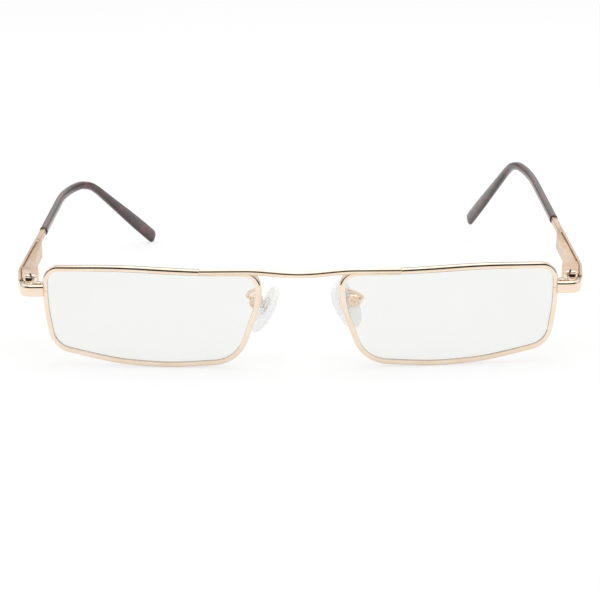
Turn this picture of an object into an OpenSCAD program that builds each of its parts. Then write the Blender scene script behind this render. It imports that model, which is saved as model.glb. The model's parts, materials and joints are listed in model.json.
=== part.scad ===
// Metal reading glasses with a narrow rectangular front, screw-on nose pads
// and spring hinges. Millimetres, +Z up, lying open on a table: the rims and
// the tip of the right temple touch z = 0, and the front faces -Y. Right and
// left are the wearer's own, so the right side is at -X.

/* [Lenses and rims] */
// Width of a lens, edge to edge
lens_w = 52.2; // [46:0.1:58]
// Height of a lens, edge to edge
lens_h = 23.7; // [19:0.1:34]
// Distance between the two lenses at the nose
lens_gap = 20.5; // [16:0.1:26]
// Thickness of a lens at its centre
lens_t = 2.2; // [1.8:0.1:3]
// Radius that the front follows from side to side
base_r = 110; // [80:1:180]
// Turn of each rim about the vertical, in degrees
wrap = 6.5; // [0:0.5:12]
// Thickness of the rim outside the lens edge
rim_wall = 0.75; // [0.5:0.05:1.2]
// Depth of the rim from front to back
rim_depth = 1.8; // [1.6:0.1:2.6]
// Depth of the groove that holds the lens
groove = 0.6; // [0.4:0.05:0.8]

/* [Bridge] */
// Diameter of the bridge bar
bar_d = 1.4; // [1:0.1:2]
// Length of the bar along each rim
bar_lap = 13.6; // [8:0.1:16]
// How far the middle of the bar dips
bar_dip = 0.6; // [0:0.1:3]
// How far the middle of the bar comes forward
bar_bow = 1.0; // [0:0.1:3]

/* [Hinges] */
// Reach of each end piece outside its rim
end_out = 5.9; // [5.5:0.1:9]
// Height of the end piece strip
end_h = 2.8; // [2.6:0.1:4.5]
// Thickness of the end piece strip
end_t = 1.3; // [1.1:0.1:1.6]
// Outward slant of the end piece behind its bend, in degrees
flare = 14; // [8:1:16]
// Height of the hinge above the middle of the lens
hinge_up = 5.0; // [3:0.1:8]
// Distance of the hinge axis behind the front of the end piece
hinge_back = 6.3; // [5.9:0.1:8]
// Distance of the hinge axis inside the end piece's bend
axis_in = 2.1; // [1.9:0.1:2.4]
// Radius of the hinge barrel
barrel_r = 1.7; // [1.5:0.05:1.8]
// Height of the hinge barrel
barrel_h = 4.2; // [3.2:0.1:4.6]
// Height of the middle knuckle
knuckle_h = 1.3; // [1:0.1:1.6]
// Radius of the hinge screw's shank
screw_r = 0.55; // [0.45:0.05:0.65]
// Travel of the spring slide
slide_travel = 0.8; // [0.7:0.05:1]
// Length of the spring case behind the hinge axis
case_len = 32.5; // [26:0.5:36]

/* [Temples] */
// Length of the temple from the hinge axis to the ear bend
ear_at = 100; // [90:1:106]
// Length of the ear piece beyond the bend
ear_len = 44; // [38:1:50]
// Drop of the right ear piece, in degrees
drop_right = 37; // [30:1:50]
// Drop of the left ear piece, in degrees
drop_left = 41; // [30:1:50]
// Inward turn of the right ear piece, in degrees
inward_right = 25; // [8:1:36]
// Inward turn of the left ear piece, in degrees
inward_left = 13.5; // [8:0.5:36]
// Angle by which the right temple toes in, in degrees
toe_right = 0.4; // [-3:0.1:3]
// Angle by which the left temple toes in, in degrees
toe_left = 2.0; // [-3:0.1:3]
// Angle by which the left temple stands above the right, in degrees
left_lift = 3.0; // [0:0.1:4]
// Distance of the temple outside the hinge axis
plate_out = 3.7; // [3.5:0.1:4.2]
// Height of the temple plate at the hinge
plate_h = 4.0; // [3.4:0.1:5]
// Thickness of the temple plate
plate_t = 0.9; // [0.8:0.05:1]
// Height of the temple between the plate and the sleeve
neck_h = 2.0; // [1.8:0.1:3]
// Thickness of the temple between the plate and the sleeve
neck_t = 1.6; // [1.2:0.1:2]
// Length of the bare metal, from the hinge axis to the sleeve
sleeve_at = 45; // [40:1:60]
// Height of the sleeve at its mouth
sleeve_h = 2.4; // [2.2:0.1:4]
// Thickness of the sleeve at its mouth
sleeve_t = 2.2; // [2.1:0.1:3]
// Height of the sleeve near its end
paddle_h = 4.2; // [3.4:0.1:6]
// Thickness of the sleeve near its end
paddle_t = 1.7; // [1.6:0.1:2.6]

/* [Nose pads] */
// Length of a nose pad
pad_len = 13; // [11:0.5:16]
// Width of a nose pad
pad_w = 7.5; // [6:0.1:9]
// Thickness of a nose pad at its middle
pad_t = 2.4; // [2:0.1:3]
// Diameter of the pad arm wire
arm_d = 0.9; // [0.7:0.1:1.2]
// Radius of the round pad box
box_r = 1.9; // [1.7:0.1:2.3]

/* [Hidden] */
RIGHT = 0;
LEFT = 1;
SIDES = [RIGHT, LEFT];

// Clearances
seat_gap = 0.03;
run_gap = 0.05;
swing_gap = 0.15;
fine = 48;

// Colours
GOLD = "#efd3b0";
CLEAR = [0.95, 0.96, 0.95, 0.45];
PAD = [0.93, 0.94, 0.93, 0.6];
SLEEVE = "#4a2d2b";
STEEL = "#b9b4ad";

// Lens outline, in the lens plane: [toward the temple, up, corner radius]
half_w = lens_w / 2;
half_h = lens_h / 2;
CORNERS = [
    [half_w, half_h - 1.45, 3.6],
    [0.3 * half_w, half_h - 0.34, 150],
    [-half_w, half_h - 1.8, 3.9],
    [-half_w, 0.25 * half_h, 20],
    [5.2 - half_w, 0.47 - half_h, 8.3],
    [-0.15 * half_w, -0.39 - half_h, 80],
    [0.3 * half_w, 0.27 - half_h, 60],
    [half_w - 1.7, 3.0 - half_h, 5.3],
    [half_w, 0.16 * half_h, 40]
];

// Place of the lens plane
lens_x = (lens_gap + lens_w) / 2;
lens_y = 1.0;
ring_step = 4.5;
arc_step = 11;

function polar(a) = [cos(a), sin(a)];
function heading(v) = atan2(v[1], v[0]);
function flat(v) = [v[0], v[1]];
function wrap_360(a) = a < 0 ? a + 360 : a;
function smooth(t) = t <= 0 ? 0 : t >= 1 ? 1 : t * t * (3 - 2 * t);
function mix(a, b, t) = a + (b - a) * t;

// One rounded corner as [centre, radius, first normal angle, turn]
function corner(i) = let (
    n = len(CORNERS),
    v = flat(CORNERS[i]),
    before = v - flat(CORNERS[(i + n - 1) % n]),
    after = flat(CORNERS[(i + 1) % n]) - v,
    turn = wrap_360(heading(after) - heading(before)),
    room = 0.49 * min(norm(before), norm(after)) / tan(turn / 2),
    r = min(CORNERS[i][2], room),
    a = heading(before)
) [v - r * tan(turn / 2) * polar(a) + r * polar(a + 90), r, a - 90, turn];

ARCS = [for (i = [0:len(CORNERS) - 1]) corner(i)];

function on_arc(arc, t, out) = arc[0] + (arc[1] + out) * polar(arc[2] + arc[3] * t);
function arc_rings(arc) = let (
    length = arc[1] * arc[3] * PI / 180,
    n = max(2, ceil(arc[3] / arc_step), ceil(length / ring_step))
) [for (k = [0:n]) [on_arc(arc, k / n, 0), arc[2] + arc[3] * k / n]];
function straight_rings(arc, next) = let (
    a = on_arc(arc, 1, 0),
    b = on_arc(next, 0, 0),
    n = ceil(norm(b - a) / ring_step)
) n < 2 ? [] : [for (k = [1:n - 1]) [mix(a, b, k / n), next[2]]];

// The lens edge as [point, angle of the outward normal], anticlockwise
EDGE = [for (i = [0:len(ARCS) - 1])
    each concat(arc_rings(ARCS[i]), straight_rings(ARCS[i], ARCS[(i + 1) % len(ARCS)]))];

function edge_points(out) = [for (e = EDGE) e[0] + out * polar(e[1])];

// The rims stand on the table
lens_z = -min([for (p = edge_points(rim_wall)) p[1]]);
hinge_z = lens_z + hinge_up;

// Depth of the front's curve at a point of the lens plane
function sag(p) = base_r - sqrt(base_r * base_r - p[0] * p[0] - p[1] * p[1]);
// Place on the left side of a point of the lens plane, depth toward the back
function lens_point(p, depth) = [
    lens_x + p[0] * cos(wrap) - depth * sin(wrap),
    lens_y + p[0] * sin(wrap) + depth * cos(wrap),
    lens_z + p[1]
];

module on_side(side) {
    translate([0, -middle_y, 0])
        mirror([side == RIGHT ? 1 : 0, 0, 0])
            children();
}

module in_lens_plane() {
    translate([lens_x, lens_y, lens_z])
        rotate([0, 0, wrap])
            rotate([90, 0, 0])
                children();
}

// Solid through rings of points, each ring with as many points
module skin(rings, closed = false) {
    n = len(rings);
    m = len(rings[0]);
    last = closed ? n - 1 : n - 2;
    sides = [for (i = [0:last], j = [0:m - 1]) let (
        a = i * m + j,
        b = i * m + (j + 1) % m,
        c = ((i + 1) % n) * m + (j + 1) % m,
        d = ((i + 1) % n) * m + j
    ) each [[a, b, c], [a, c, d]]];
    caps = closed ? [] : [
        [for (j = [m - 1:-1:0]) j],
        [for (j = [0:m - 1]) (n - 1) * m + j]
    ];
    polyhedron(points = [for (r = rings) each r], faces = concat(sides, caps));
}

// Solid through outer rings, with a blind pocket through inner rings
module pocket_skin(outer, inner) {
    n = len(outer);
    k = len(inner);
    m = len(outer[0]);
    base = n * m;
    walls = [for (i = [0:n - 2], j = [0:m - 1]) let (
        a = i * m + j,
        b = i * m + (j + 1) % m
    ) each [[a, b, b + m], [a, b + m, a + m]]];
    pocket = [for (i = [0:k - 2], j = [0:m - 1]) let (
        a = base + i * m + j,
        b = base + i * m + (j + 1) % m
    ) each [[a, b + m, b], [a, a + m, b + m]]];
    mouth = [for (j = [0:m - 1]) let (
        b = (j + 1) % m
    ) each [[j, base + j, base + b], [j, base + b, b]]];
    ends = [
        [for (j = [0:m - 1]) (n - 1) * m + j],
        [for (j = [m - 1:-1:0]) base + (k - 1) * m + j]
    ];
    polyhedron(
        points = concat([for (r = outer) each r], [for (r = inner) each r]),
        faces = concat(walls, pocket, mouth, ends)
    );
}

// Rim section as [outward from the lens edge, toward the back]
half_d = rim_depth / 2;
tongue_t = 0.6;
slot_t = tongue_t / 2 + seat_gap;
edge_round = 0.3;
RIM_SECTION = [
    [-groove, -slot_t],
    [-groove, edge_round - half_d],
    [0.7 * edge_round - groove, -half_d],
    [rim_wall - edge_round, -half_d],
    [rim_wall - 0.2 * edge_round, 0.8 * edge_round - half_d],
    [rim_wall, 1.4 * edge_round - half_d],
    [rim_wall, half_d - edge_round],
    [rim_wall - edge_round, half_d],
    [-groove, half_d],
    [-groove, slot_t],
    [seat_gap, slot_t],
    [seat_gap, -slot_t]
];
split_gap = 0.16;
saw_back = 4;
saw_reach = 20;

module rim(side) {
    color(GOLD)
        on_side(side)
            difference() {
                skin([for (e = EDGE) [for (s = RIM_SECTION) let (p = e[0] + s[0] * polar(e[1]))
                    lens_point(p, sag(p) + s[1])
                ]], closed = true);
                translate([lens_x + half_w - saw_back, lens_y, hinge_z - split_gap / 2])
                    cube([saw_reach, saw_reach, split_gap]);
            }
}

// Lens with a ground edge that sits in the rim's groove
lens_front_r = 0.91 * base_r;
lens_back_r = 1.27 * base_r;
lens_set = 0.45 * lens_t;

module lens(side) {
    color(CLEAR)
        on_side(side)
            in_lens_plane() {
                intersection() {
                    translate([0, 0, -base_r])
                        linear_extrude(2 * base_r)
                            polygon(edge_points(-groove - seat_gap));
                    difference() {
                        translate([0, 0, lens_set - lens_front_r])
                            sphere(lens_front_r, $fn = 96);
                        translate([0, 0, lens_set - lens_t - lens_back_r])
                            sphere(lens_back_r, $fn = 96);
                    }
                }
                intersection() {
                    translate([0, 0, -base_r])
                        linear_extrude(2 * base_r)
                            polygon(edge_points(0));
                    difference() {
                        translate([0, 0, tongue_t / 2 - base_r])
                            sphere(base_r, $fn = 96);
                        translate([0, 0, -tongue_t / 2 - base_r])
                            sphere(base_r, $fn = 96);
                    }
                }
            }
}

// Bridge bar, soldered along the front of both rims
bar_r = bar_d / 2;
bar_half = lens_gap / 2 + bar_lap;
bar_z = lens_z + half_h - 0.8;
bar_free = 13.5;
bar_n = 48;
bar_sides = 10;
bar_at = (bar_half - lens_x) / cos(wrap);
bar_y = lens_point([bar_at, half_h], sag([bar_at, half_h]) - half_d)[1] - bar_r - seat_gap;
front_y = bar_y - bar_bow - bar_r;

function bar_swell(x) = abs(x) >= bar_free ? 0 : (1 + cos(180 * x / bar_free)) / 2;
function bar_ring(x, r) = [for (j = [0:bar_sides - 1]) let (a = 360 * j / bar_sides)
    [x, bar_y - bar_bow * bar_swell(x) - r * cos(a), bar_z - bar_dip * bar_swell(x) + r * sin(a)]];

module bridge_bar() {
    round_end = 0.4;
    color(GOLD)
        translate([0, -middle_y, 0])
            skin(concat(
                [bar_ring(-bar_half - round_end, 0.6 * bar_r)],
                [for (k = [0:bar_n]) bar_ring(mix(-bar_half, bar_half, k / bar_n), bar_r)],
                [bar_ring(bar_half + round_end, 0.6 * bar_r)]
            ));
}

// End piece: a strip from the rim, bent back and out to meet the temple
end_bend = 3.6;
tail_t = plate_t;
edge_at = lens_point([half_w + rim_wall, 0], sag([half_w, hinge_up]));
rim_side_x = edge_at[0] + 0.1;
end_x = rim_side_x + end_out;
end_y = edge_at[1] - half_d - 0.35;
hinge_x = end_x - axis_in;
hinge_y = end_y + hinge_back;
butt_y = hinge_y + 0.5;
butt_gap = 0.1;

// Face of the strip, r from the middle of its bend: the bend, then the tail up to y
bend_mid = [end_x - end_bend, end_y + end_bend];
bend_steps = 6;
function tail_x(r, y) = bend_mid[0] + (r + (y - bend_mid[1]) * sin(flare)) / cos(flare);
function bent_face(r, y) = concat(
    [for (k = [0:bend_steps]) bend_mid + r * polar(mix(-90, -flare, k / bend_steps))],
    [[tail_x(r, y), y]]
);
function backward(list) = [for (i = [len(list) - 1:-1:0]) list[i]];

module end_piece(side) {
    inner_r = end_bend - end_t;
    tail_r = end_bend - tail_t;
    color(GOLD)
        on_side(side)
            translate([0, 0, hinge_z - end_h / 2])
                linear_extrude(end_h)
                    polygon(concat(
                        [[rim_side_x, end_y]],
                        bent_face(end_bend, butt_y),
                        [[tail_x(tail_r, butt_y), butt_y], [tail_x(tail_r, hinge_y), hinge_y]],
                        backward(bent_face(inner_r, hinge_y - barrel_r)),
                        [[rim_side_x, end_y + end_t]]
                    ));
}

// Closing blocks hold the split rim shut with a screw
block_x = rim_side_x + seat_gap;
block_w = 2.2;
block_d = 2.3;
block_h = 1.2;
block_y = end_y + end_t + seat_gap;
lock_x = block_x + block_w / 2;
lock_y = block_y + block_d / 2;
lock_r = 0.4;
lock_head_r = 0.95;
lock_head_h = 0.5;

module closing_block(side, up) {
    bottom = up > 0 ? hinge_z + split_gap / 2 : hinge_z - split_gap / 2 - block_h;
    color(GOLD)
        on_side(side)
            difference() {
                translate([block_x, block_y, bottom])
                    cube([block_w, block_d, block_h]);
                translate([lock_x, lock_y, bottom - 1])
                    cylinder(r = lock_r + run_gap, h = block_h + 2, $fn = fine);
            }
}

module closing_screw(side) {
    top = hinge_z + split_gap / 2 + block_h + seat_gap;
    color(STEEL)
        on_side(side)
            translate([lock_x, lock_y, top])
                slotted_screw(lock_r, 2 * block_h + split_gap + seat_gap, lock_head_r, lock_head_h, 0.3);
}

// Screw along -Z with its head above z = 0
module slotted_screw(r, length, head_r, head_h, slot_w) {
    difference() {
        union() {
            translate([0, 0, -length])
                cylinder(r = r, h = length + head_h / 2, $fn = fine);
            rotate_extrude($fn = fine)
                polygon([[0, 0], [head_r, 0], [head_r, 0.6 * head_h], [0.7 * head_r, head_h], [0, head_h]]);
        }
        translate([-2 * head_r, -slot_w / 2, 0.5 * head_h])
            cube([4 * head_r, slot_w, head_h]);
    }
}

// Front half of the hinge: two knuckles on a foot behind the end piece
slot_half = knuckle_h / 2 + run_gap;
foot_in = 0.7;
foot_end = hinge_y - barrel_r;

module front_hinge(side) {
    foot_r = end_bend - end_t - seat_gap;
    face = [for (p = bent_face(foot_r, foot_end)) if (p[0] > hinge_x - foot_in) p];
    color(GOLD)
        on_side(side)
            difference() {
                union() {
                    translate([hinge_x, hinge_y, hinge_z - barrel_h / 2])
                        cylinder(r = barrel_r, h = barrel_h, $fn = fine);
                    translate([0, 0, hinge_z - end_h / 2])
                        linear_extrude(end_h)
                            polygon(concat(
                                face,
                                [[hinge_x + 0.6 * barrel_r, hinge_y], [hinge_x - foot_in, hinge_y]],
                                [[hinge_x - foot_in, face[0][1]]]
                            ));
                }
                translate([hinge_x, hinge_y, hinge_z - slot_half])
                    cylinder(r = barrel_r + swing_gap, h = 2 * slot_half, $fn = fine);
                translate([hinge_x, hinge_y, 0])
                    cylinder(r = screw_r + run_gap, h = 2 * hinge_z, $fn = fine);
            }
}

module hinge_screw(side) {
    color(STEEL)
        on_side(side)
            translate([hinge_x, hinge_y, hinge_z + barrel_h / 2 + run_gap])
                slotted_screw(screw_r, barrel_h + run_gap, barrel_r - 0.1, 0.8, 0.5);
}

// Path of the temple from the hinge: [point, inward turn, drop]
path_step = 2;
inward_back = 26.6;
inward_run = 22.9;
drop_back = 12;
drop_run = 18;
inward_at = ear_at - inward_back;
drop_at = ear_at - drop_back;
temple_end = ear_at + ear_len;
TOE = [toe_right, toe_left];
INWARD = [inward_right, inward_left];
DROP = [drop_right, drop_left];

function turn_at(side, s) = INWARD[side] * smooth((s - inward_at) / inward_run);
function dip_at(side, s) = DROP[side] * smooth((s - drop_at) / drop_run);
function ahead(side, s) = let (t = turn_at(side, s), d = dip_at(side, s))
    [-sin(t) * cos(d), cos(t) * cos(d), -sin(d)];
function temple_path(side) = [for (
    s = 0, p = [plate_out, 0, 0];
    s <= temple_end + 0.01;
    p = p + path_step * ahead(side, s + path_step / 2), s = s + path_step
) [p, turn_at(side, s), dip_at(side, s), s]];
PATHS = [for (side = SIDES) temple_path(side)];

// Place on the path at any length s
function path_at(side, s) = let (
    i = min(floor(s / path_step), len(PATHS[side]) - 1)
) [PATHS[side][i][0] + (s - i * path_step) * ahead(side, s), turn_at(side, s), dip_at(side, s)];

// Rounded section across the path, thickness t and height h
SECTION = [for (a = [15:30:345]) polar(a)];
function rounded(v) = sign(v) * pow(abs(v), 0.6);
function section(side, s, t, h, shift = 0) = let (
    q = path_at(side, s),
    e1 = [cos(q[1]), sin(q[1]), 0],
    e2 = [-sin(q[1]) * sin(q[2]), cos(q[1]) * sin(q[2]), cos(q[2])]
) [for (c = SECTION) q[0] + e1 * (shift + rounded(c[0]) * t / 2) + e2 * rounded(c[1]) * h / 2];

// Sleeve: slim at the mouth, a flat paddle near the end, and a round end
end_round = [[0, 1], [0.8, 0.93], [1.6, 0.74], [2.1, 0.42]];
mouth_lip = 0.2;
function paddle(s) = smooth((s - ear_at) / (temple_end - ear_at - 8));
function sleeve_height(s) = mix(sleeve_h, paddle_h, paddle(s));
function sleeve_width(s) = mix(sleeve_t, paddle_t, paddle(s));
function sleeve_rings(side) = concat(
    [section(side, sleeve_at, sleeve_t - mouth_lip, sleeve_h - mouth_lip)],
    [for (s = sleeve_lengths()) section(side, s, sleeve_width(s), sleeve_height(s))],
    [for (e = end_round) let (s = temple_end - 2.2 + e[0])
        section(side, s, e[1] * sleeve_width(s), e[1] * sleeve_height(s))]
);
function sleeve_lengths() = concat(
    [for (s = [sleeve_at + 0.6:9:inward_at]) s],
    [for (s = [inward_at + 2:2.5:ear_at + 10]) s],
    [for (s = [ear_at + 14:5:temple_end - 4]) s]
);

// The right tip rests on the table, which settles the pitch of the temples
SLEEVES = [for (side = SIDES) sleeve_rings(side)];
function rest_pitch(p) = -asin(hinge_z / norm([p[1], p[2]])) - atan2(p[2], p[1]);
right_pitch = max([for (r = SLEEVES[RIGHT]) each [for (p = r) if (p[1] > ear_at) rest_pitch(p)]]);
PITCH = [right_pitch, right_pitch + left_lift];

// Middle of the length, which is the origin
function reach(side, p) = hinge_y + p[0] * sin(TOE[side])
    + cos(TOE[side]) * (p[1] * cos(PITCH[side]) - p[2] * sin(PITCH[side]));
back_y = max([for (side = SIDES) each [for (r = SLEEVES[side]) each [for (p = r) reach(side, p)]]]);
middle_y = (front_y + back_y) / 2;

// Frame of a temple: X outward, Y along it, from the middle of the hinge
module on_temple(side) {
    on_side(side)
        translate([hinge_x, hinge_y, hinge_z])
            rotate([0, 0, TOE[side]])
                rotate([PITCH[side], 0, 0])
                    children();
}

// Metal temple: a plate beside the hinge, then a neck and a core in the sleeve
core_t = 1.0;
core_h = 1.3;
core_end = ear_at + 0.6 * ear_len;
plate_front = butt_y + butt_gap - hinge_y;
plate_settle = 8;
plate_end = case_len + 0.2;
neck_at = plate_end + 1;
neck_gap = 0.1;
plate_start = tail_x(end_bend - tail_t / 2, butt_y) - hinge_x;
PLATE_LENGTHS = [2, 4, 6, 8];

function plate_shift(s) = (plate_start - plate_out) * (1 - smooth(s / plate_settle));
function plate_height(s) = mix(plate_h, 0.9 * plate_h, s / plate_end);
function plate_ring(side, s) = section(side, s, plate_t, plate_height(s), plate_shift(s));
function front_ring(side) = [for (p = plate_ring(side, 0)) [
    p[0],
    ((plate_front - p[0] * sin(TOE[side])) / cos(TOE[side]) + p[2] * sin(PITCH[side])) / cos(PITCH[side]),
    p[2]
]];
function core_lengths() = concat(
    [for (s = [sleeve_at + 1:9:inward_at]) s],
    [for (s = [inward_at + 2:2.5:ear_at + 8]) s],
    [for (s = [ear_at + 12:5:core_end]) s]
);

module temple(side) {
    color(GOLD)
        on_temple(side)
            skin(concat(
                [front_ring(side)],
                [for (s = PLATE_LENGTHS) plate_ring(side, s)],
                [for (s = [plate_settle + 5:5:plate_end - 2]) plate_ring(side, s)],
                [plate_ring(side, plate_end)],
                [section(side, neck_at, neck_t, neck_h + 0.3)],
                [section(side, neck_at + 3, neck_t, neck_h)],
                [section(side, sleeve_at - neck_gap - 0.3, neck_t, neck_h)],
                [section(side, sleeve_at - neck_gap, core_t, core_h)],
                [for (s = core_lengths()) section(side, s, core_t, core_h)]
            ));
}

module temple_sleeve(side) {
    spare = 2 * run_gap;
    last = core_lengths()[len(core_lengths()) - 1] + spare;
    color(SLEEVE)
        on_temple(side)
            pocket_skin(SLEEVES[side], concat(
                [section(side, sleeve_at, core_t + spare, core_h + spare)],
                [for (s = core_lengths()) section(side, s, core_t + spare, core_h + spare)],
                [section(side, last + 0.5, core_t + spare, core_h + spare)]
            ));
}

// Spring case on the inner face of the plate
case_w = 1.8;
case_h = 3.7;
case_front = 1.0;
rod_x = 1.25;
rod_r = 0.3;
spring_bore_r = 0.7;
shank_end = 3.2;
guide_end = 4.5;
bore_end = 12.5;
slit_at = 9;
slit_w = 0.3;
slit_depth = 0.7;

function case_face(s) = plate_out + plate_shift(s) - plate_t / 2 - seat_gap;
case_in = case_face(case_len) - case_w;
CASE_TOP = concat(
    [for (s = concat([case_front], PLATE_LENGTHS, [case_len])) [case_face(s), s]],
    [
        [case_in + 1.0, case_len],
        [case_in + 0.3, case_len - 2.5],
        [case_in, case_len - 4.5],
        [case_in, 0.58 * case_len],
        [mix(case_in, -barrel_r, 0.12), 0.5 * case_len],
        [mix(case_in, -barrel_r, 0.43), 0.34 * case_len],
        [mix(case_in, -barrel_r, 0.8), 0.2 * case_len],
        [0.2 - barrel_r, 0.11 * case_len],
        [0.1 - barrel_r, case_front + 0.4],
        [0.4 - barrel_r, case_front]
    ]
);
CASE_SIDE = [
    [-case_front, -case_h / 2],
    [-case_front, case_h / 2],
    [-0.6 * case_len, case_h / 2],
    [-case_len, 0.42 * case_h],
    [-case_len, -0.42 * case_h],
    [-0.6 * case_len, -case_h / 2]
];

module spring_case(side) {
    color(GOLD)
        difference() {
            on_temple(side)
                difference() {
                    intersection() {
                        translate([0, 0, -case_h])
                            linear_extrude(2 * case_h)
                                polygon(CASE_TOP);
                        rotate([90, 0, -90])
                            translate([0, 0, -2 * plate_out])
                                linear_extrude(4 * plate_out)
                                    polygon(CASE_SIDE);
                    }
                    translate([-0.4, 0, -rod_r - run_gap])
                        cube([rod_x + rod_r + run_gap + 0.4, shank_end + run_gap, 2 * (rod_r + run_gap)]);
                    rod_hole(rod_r + run_gap, 0, guide_end + 1);
                    rod_hole(spring_bore_r, guide_end, bore_end);
                    translate([case_face(case_len) - slit_w, slit_at, case_h / 2 - slit_depth])
                        cube([1, case_len, case_h]);
                }
            on_side(side)
                translate([hinge_x, hinge_y, 0])
                    cylinder(r = barrel_r + swing_gap, h = 2 * hinge_z, $fn = fine);
        }
}

module rod_hole(r, from, to) {
    translate([rod_x, from, 0])
        rotate([-90, 0, 0])
            cylinder(r = r, h = to - from, $fn = fine);
}

// Slider: the middle knuckle on a rod that the spring pulls into the case
rod_end = 11;
stop_t = 1.0;
stop_back = 0.2;
SHANK = [
    [-0.2, 0.6], [0.75 * rod_x, 0.7],
    [rod_x + rod_r, 1.9], [rod_x + rod_r, shank_end],
    [rod_x - rod_r, shank_end], [0.2, 2]
];

module slider(side) {
    color(STEEL)
        difference() {
            union() {
                on_side(side)
                    translate([hinge_x, hinge_y, hinge_z - knuckle_h / 2])
                        cylinder(r = barrel_r, h = knuckle_h, $fn = fine);
                on_temple(side) {
                    translate([0, 0, -rod_r])
                        linear_extrude(2 * rod_r)
                            polygon(SHANK);
                    rod_hole(rod_r, shank_end - rod_r, rod_end);
                }
            }
            on_side(side)
                translate([hinge_x, hinge_y, 0])
                    cylinder(r = screw_r + run_gap, h = 2 * hinge_z, $fn = fine);
        }
}

module spring_stop(side) {
    color(STEEL)
        on_temple(side)
            difference() {
                rod_hole(spring_bore_r - 2 * run_gap, rod_end - stop_t - stop_back, rod_end - stop_back);
                rod_hole(rod_r + seat_gap, 0, rod_end + 1);
            }
}

module hinge_spring(side) {
    color(STEEL)
        on_temple(side)
            difference() {
                rod_hole(
                    spring_bore_r - run_gap,
                    guide_end + slide_travel + run_gap,
                    rod_end - stop_t - stop_back - seat_gap
                );
                rod_hole(rod_r + run_gap, 0, rod_end);
            }
}

// Nose pads: pivot as [outward, back, up] for each side, then its angles
PIVOT = [
    [lens_gap / 2 + 0.75, lens_y + 8, lens_z + 1.4],
    [lens_gap / 2 + 3.2, lens_y + 7.4, lens_z + 1.9]
];
PAD_SPLAY = [4, 30];
PAD_FLARE = [30, 27];
pad_lean = 12;
pivot_to_pad = 2.4;
lug_t = 1.2;
lug_r = 1.1;
pin_r = 0.4;
box_len = 2.6;

// Frame of a pad: X toward the nose, Y along the screw, Z up the pad
module on_pad(side) {
    on_side(side)
        translate(PIVOT[side])
            rotate([pad_lean, 0, 0])
                rotate([0, -PAD_FLARE[side], 0])
                    rotate([0, 0, 180 - PAD_SPLAY[side]])
                        children();
}
function turn_x(p, a) = [p[0], p[1] * cos(a) - p[2] * sin(a), p[1] * sin(a) + p[2] * cos(a)];
function turn_y(p, a) = [p[0] * cos(a) + p[2] * sin(a), p[1], p[2] * cos(a) - p[0] * sin(a)];
function turn_z(p, a) = [p[0] * cos(a) - p[1] * sin(a), p[0] * sin(a) + p[1] * cos(a), p[2]];
function pad_point(side, p) = PIVOT[side]
    + turn_x(turn_y(turn_z(p, 180 - PAD_SPLAY[side]), -PAD_FLARE[side]), pad_lean);

module nose_pad(side) {
    face_r = 9;
    edge_t = 0.45 * pad_t;
    side_r = pad_w / 2;
    half = pad_len / 2 - side_r;
    color(PAD)
        on_pad(side)
            translate([pivot_to_pad, 0, -1])
                difference() {
                    intersection() {
                        rotate([0, 90, 0])
                            linear_extrude(pad_t)
                                union() {
                                    for (z = [-half, half])
                                        translate([z, 0])
                                            circle(side_r, $fn = fine);
                                    translate([-half, -side_r])
                                        square([2 * half, pad_w]);
                                }
                        translate([pad_t - 2.4 * face_r, 0, 0])
                            sphere(2.4 * face_r, $fn = 96);
                        translate([-edge_t, 0, 0])
                            rotate([0, 90, 0])
                                cylinder(r = pad_len, h = 2 * pad_t);
                    }
                    translate([-1, 0, 1])
                        rotate([0, 90, 0])
                            cylinder(r = disc_r + seat_gap, h = 1 + disc_t + seat_gap, $fn = fine);
                }
}

disc_r = 2.2;
disc_t = 0.5;

module pad_core(side) {
    color(PAD)
        on_pad(side)
            difference() {
                union() {
                    translate([pivot_to_pad, 0, 0])
                        rotate([0, 90, 0])
                            cylinder(r = disc_r, h = disc_t, $fn = fine);
                    translate([0, -lug_t / 2, -0.8])
                        cube([pivot_to_pad + 0.1, lug_t, 1.6]);
                    across(lug_r, lug_t);
                }
                across(pin_r + run_gap, 2 * box_len);
            }
}

// Cylinder along the pad's screw
module across(r, length) {
    rotate([90, 0, 0])
        cylinder(r = r, h = length, center = true, $fn = fine);
}

module pad_box(side) {
    color(GOLD)
        on_pad(side)
            difference() {
                across(box_r, box_len);
                translate([-lug_r - 2 * run_gap, -lug_t / 2 - run_gap, -2 * box_r])
                    cube([4 * box_r, lug_t + 2 * run_gap, 4 * box_r]);
                across(pin_r + seat_gap, 2 * box_len);
                translate([1.3, -box_len, -2 * box_r])
                    cube([4 * box_r, 2 * box_len, 4 * box_r]);
            }
}

module pad_screw(side) {
    color(STEEL)
        on_pad(side)
            rotate([-90, 0, 0])
                rotate([180, 0, 0])
                    translate([0, 0, box_len / 2 + seat_gap])
                        slotted_screw(pin_r, box_len + seat_gap, 0.85, 0.4, 0.25);
}

// Pad arm: a wire from the back of the rim, looped to the back of the box
arm_up = 6;
arm_n = 18;

function bezier(p, t) = pow(1 - t, 3) * p[0] + 3 * t * pow(1 - t, 2) * p[1]
    + 3 * t * t * (1 - t) * p[2] + pow(t, 3) * p[3];
function slope(p, t) = 3 * pow(1 - t, 2) * (p[1] - p[0]) + 6 * t * (1 - t) * (p[2] - p[1])
    + 3 * t * t * (p[3] - p[2]);
function arm_path(side) = let (
    foot = [-half_w, arm_up],
    a = lens_point(foot, sag(foot) + half_d + seat_gap),
    b = pad_point(side, [-box_r - 2 * seat_gap, 0, 0]),
    c = pad_point(side, [-box_r - 2.4, 0, 0])
) [a, a + [0.4, 3.4, -0.2], c, b];
function across_path(d) = let (
    e = d / norm(d),
    f = cross(e, [0, 0, 1]),
    g = f / norm(f)
) [g, cross(g, e)];

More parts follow.
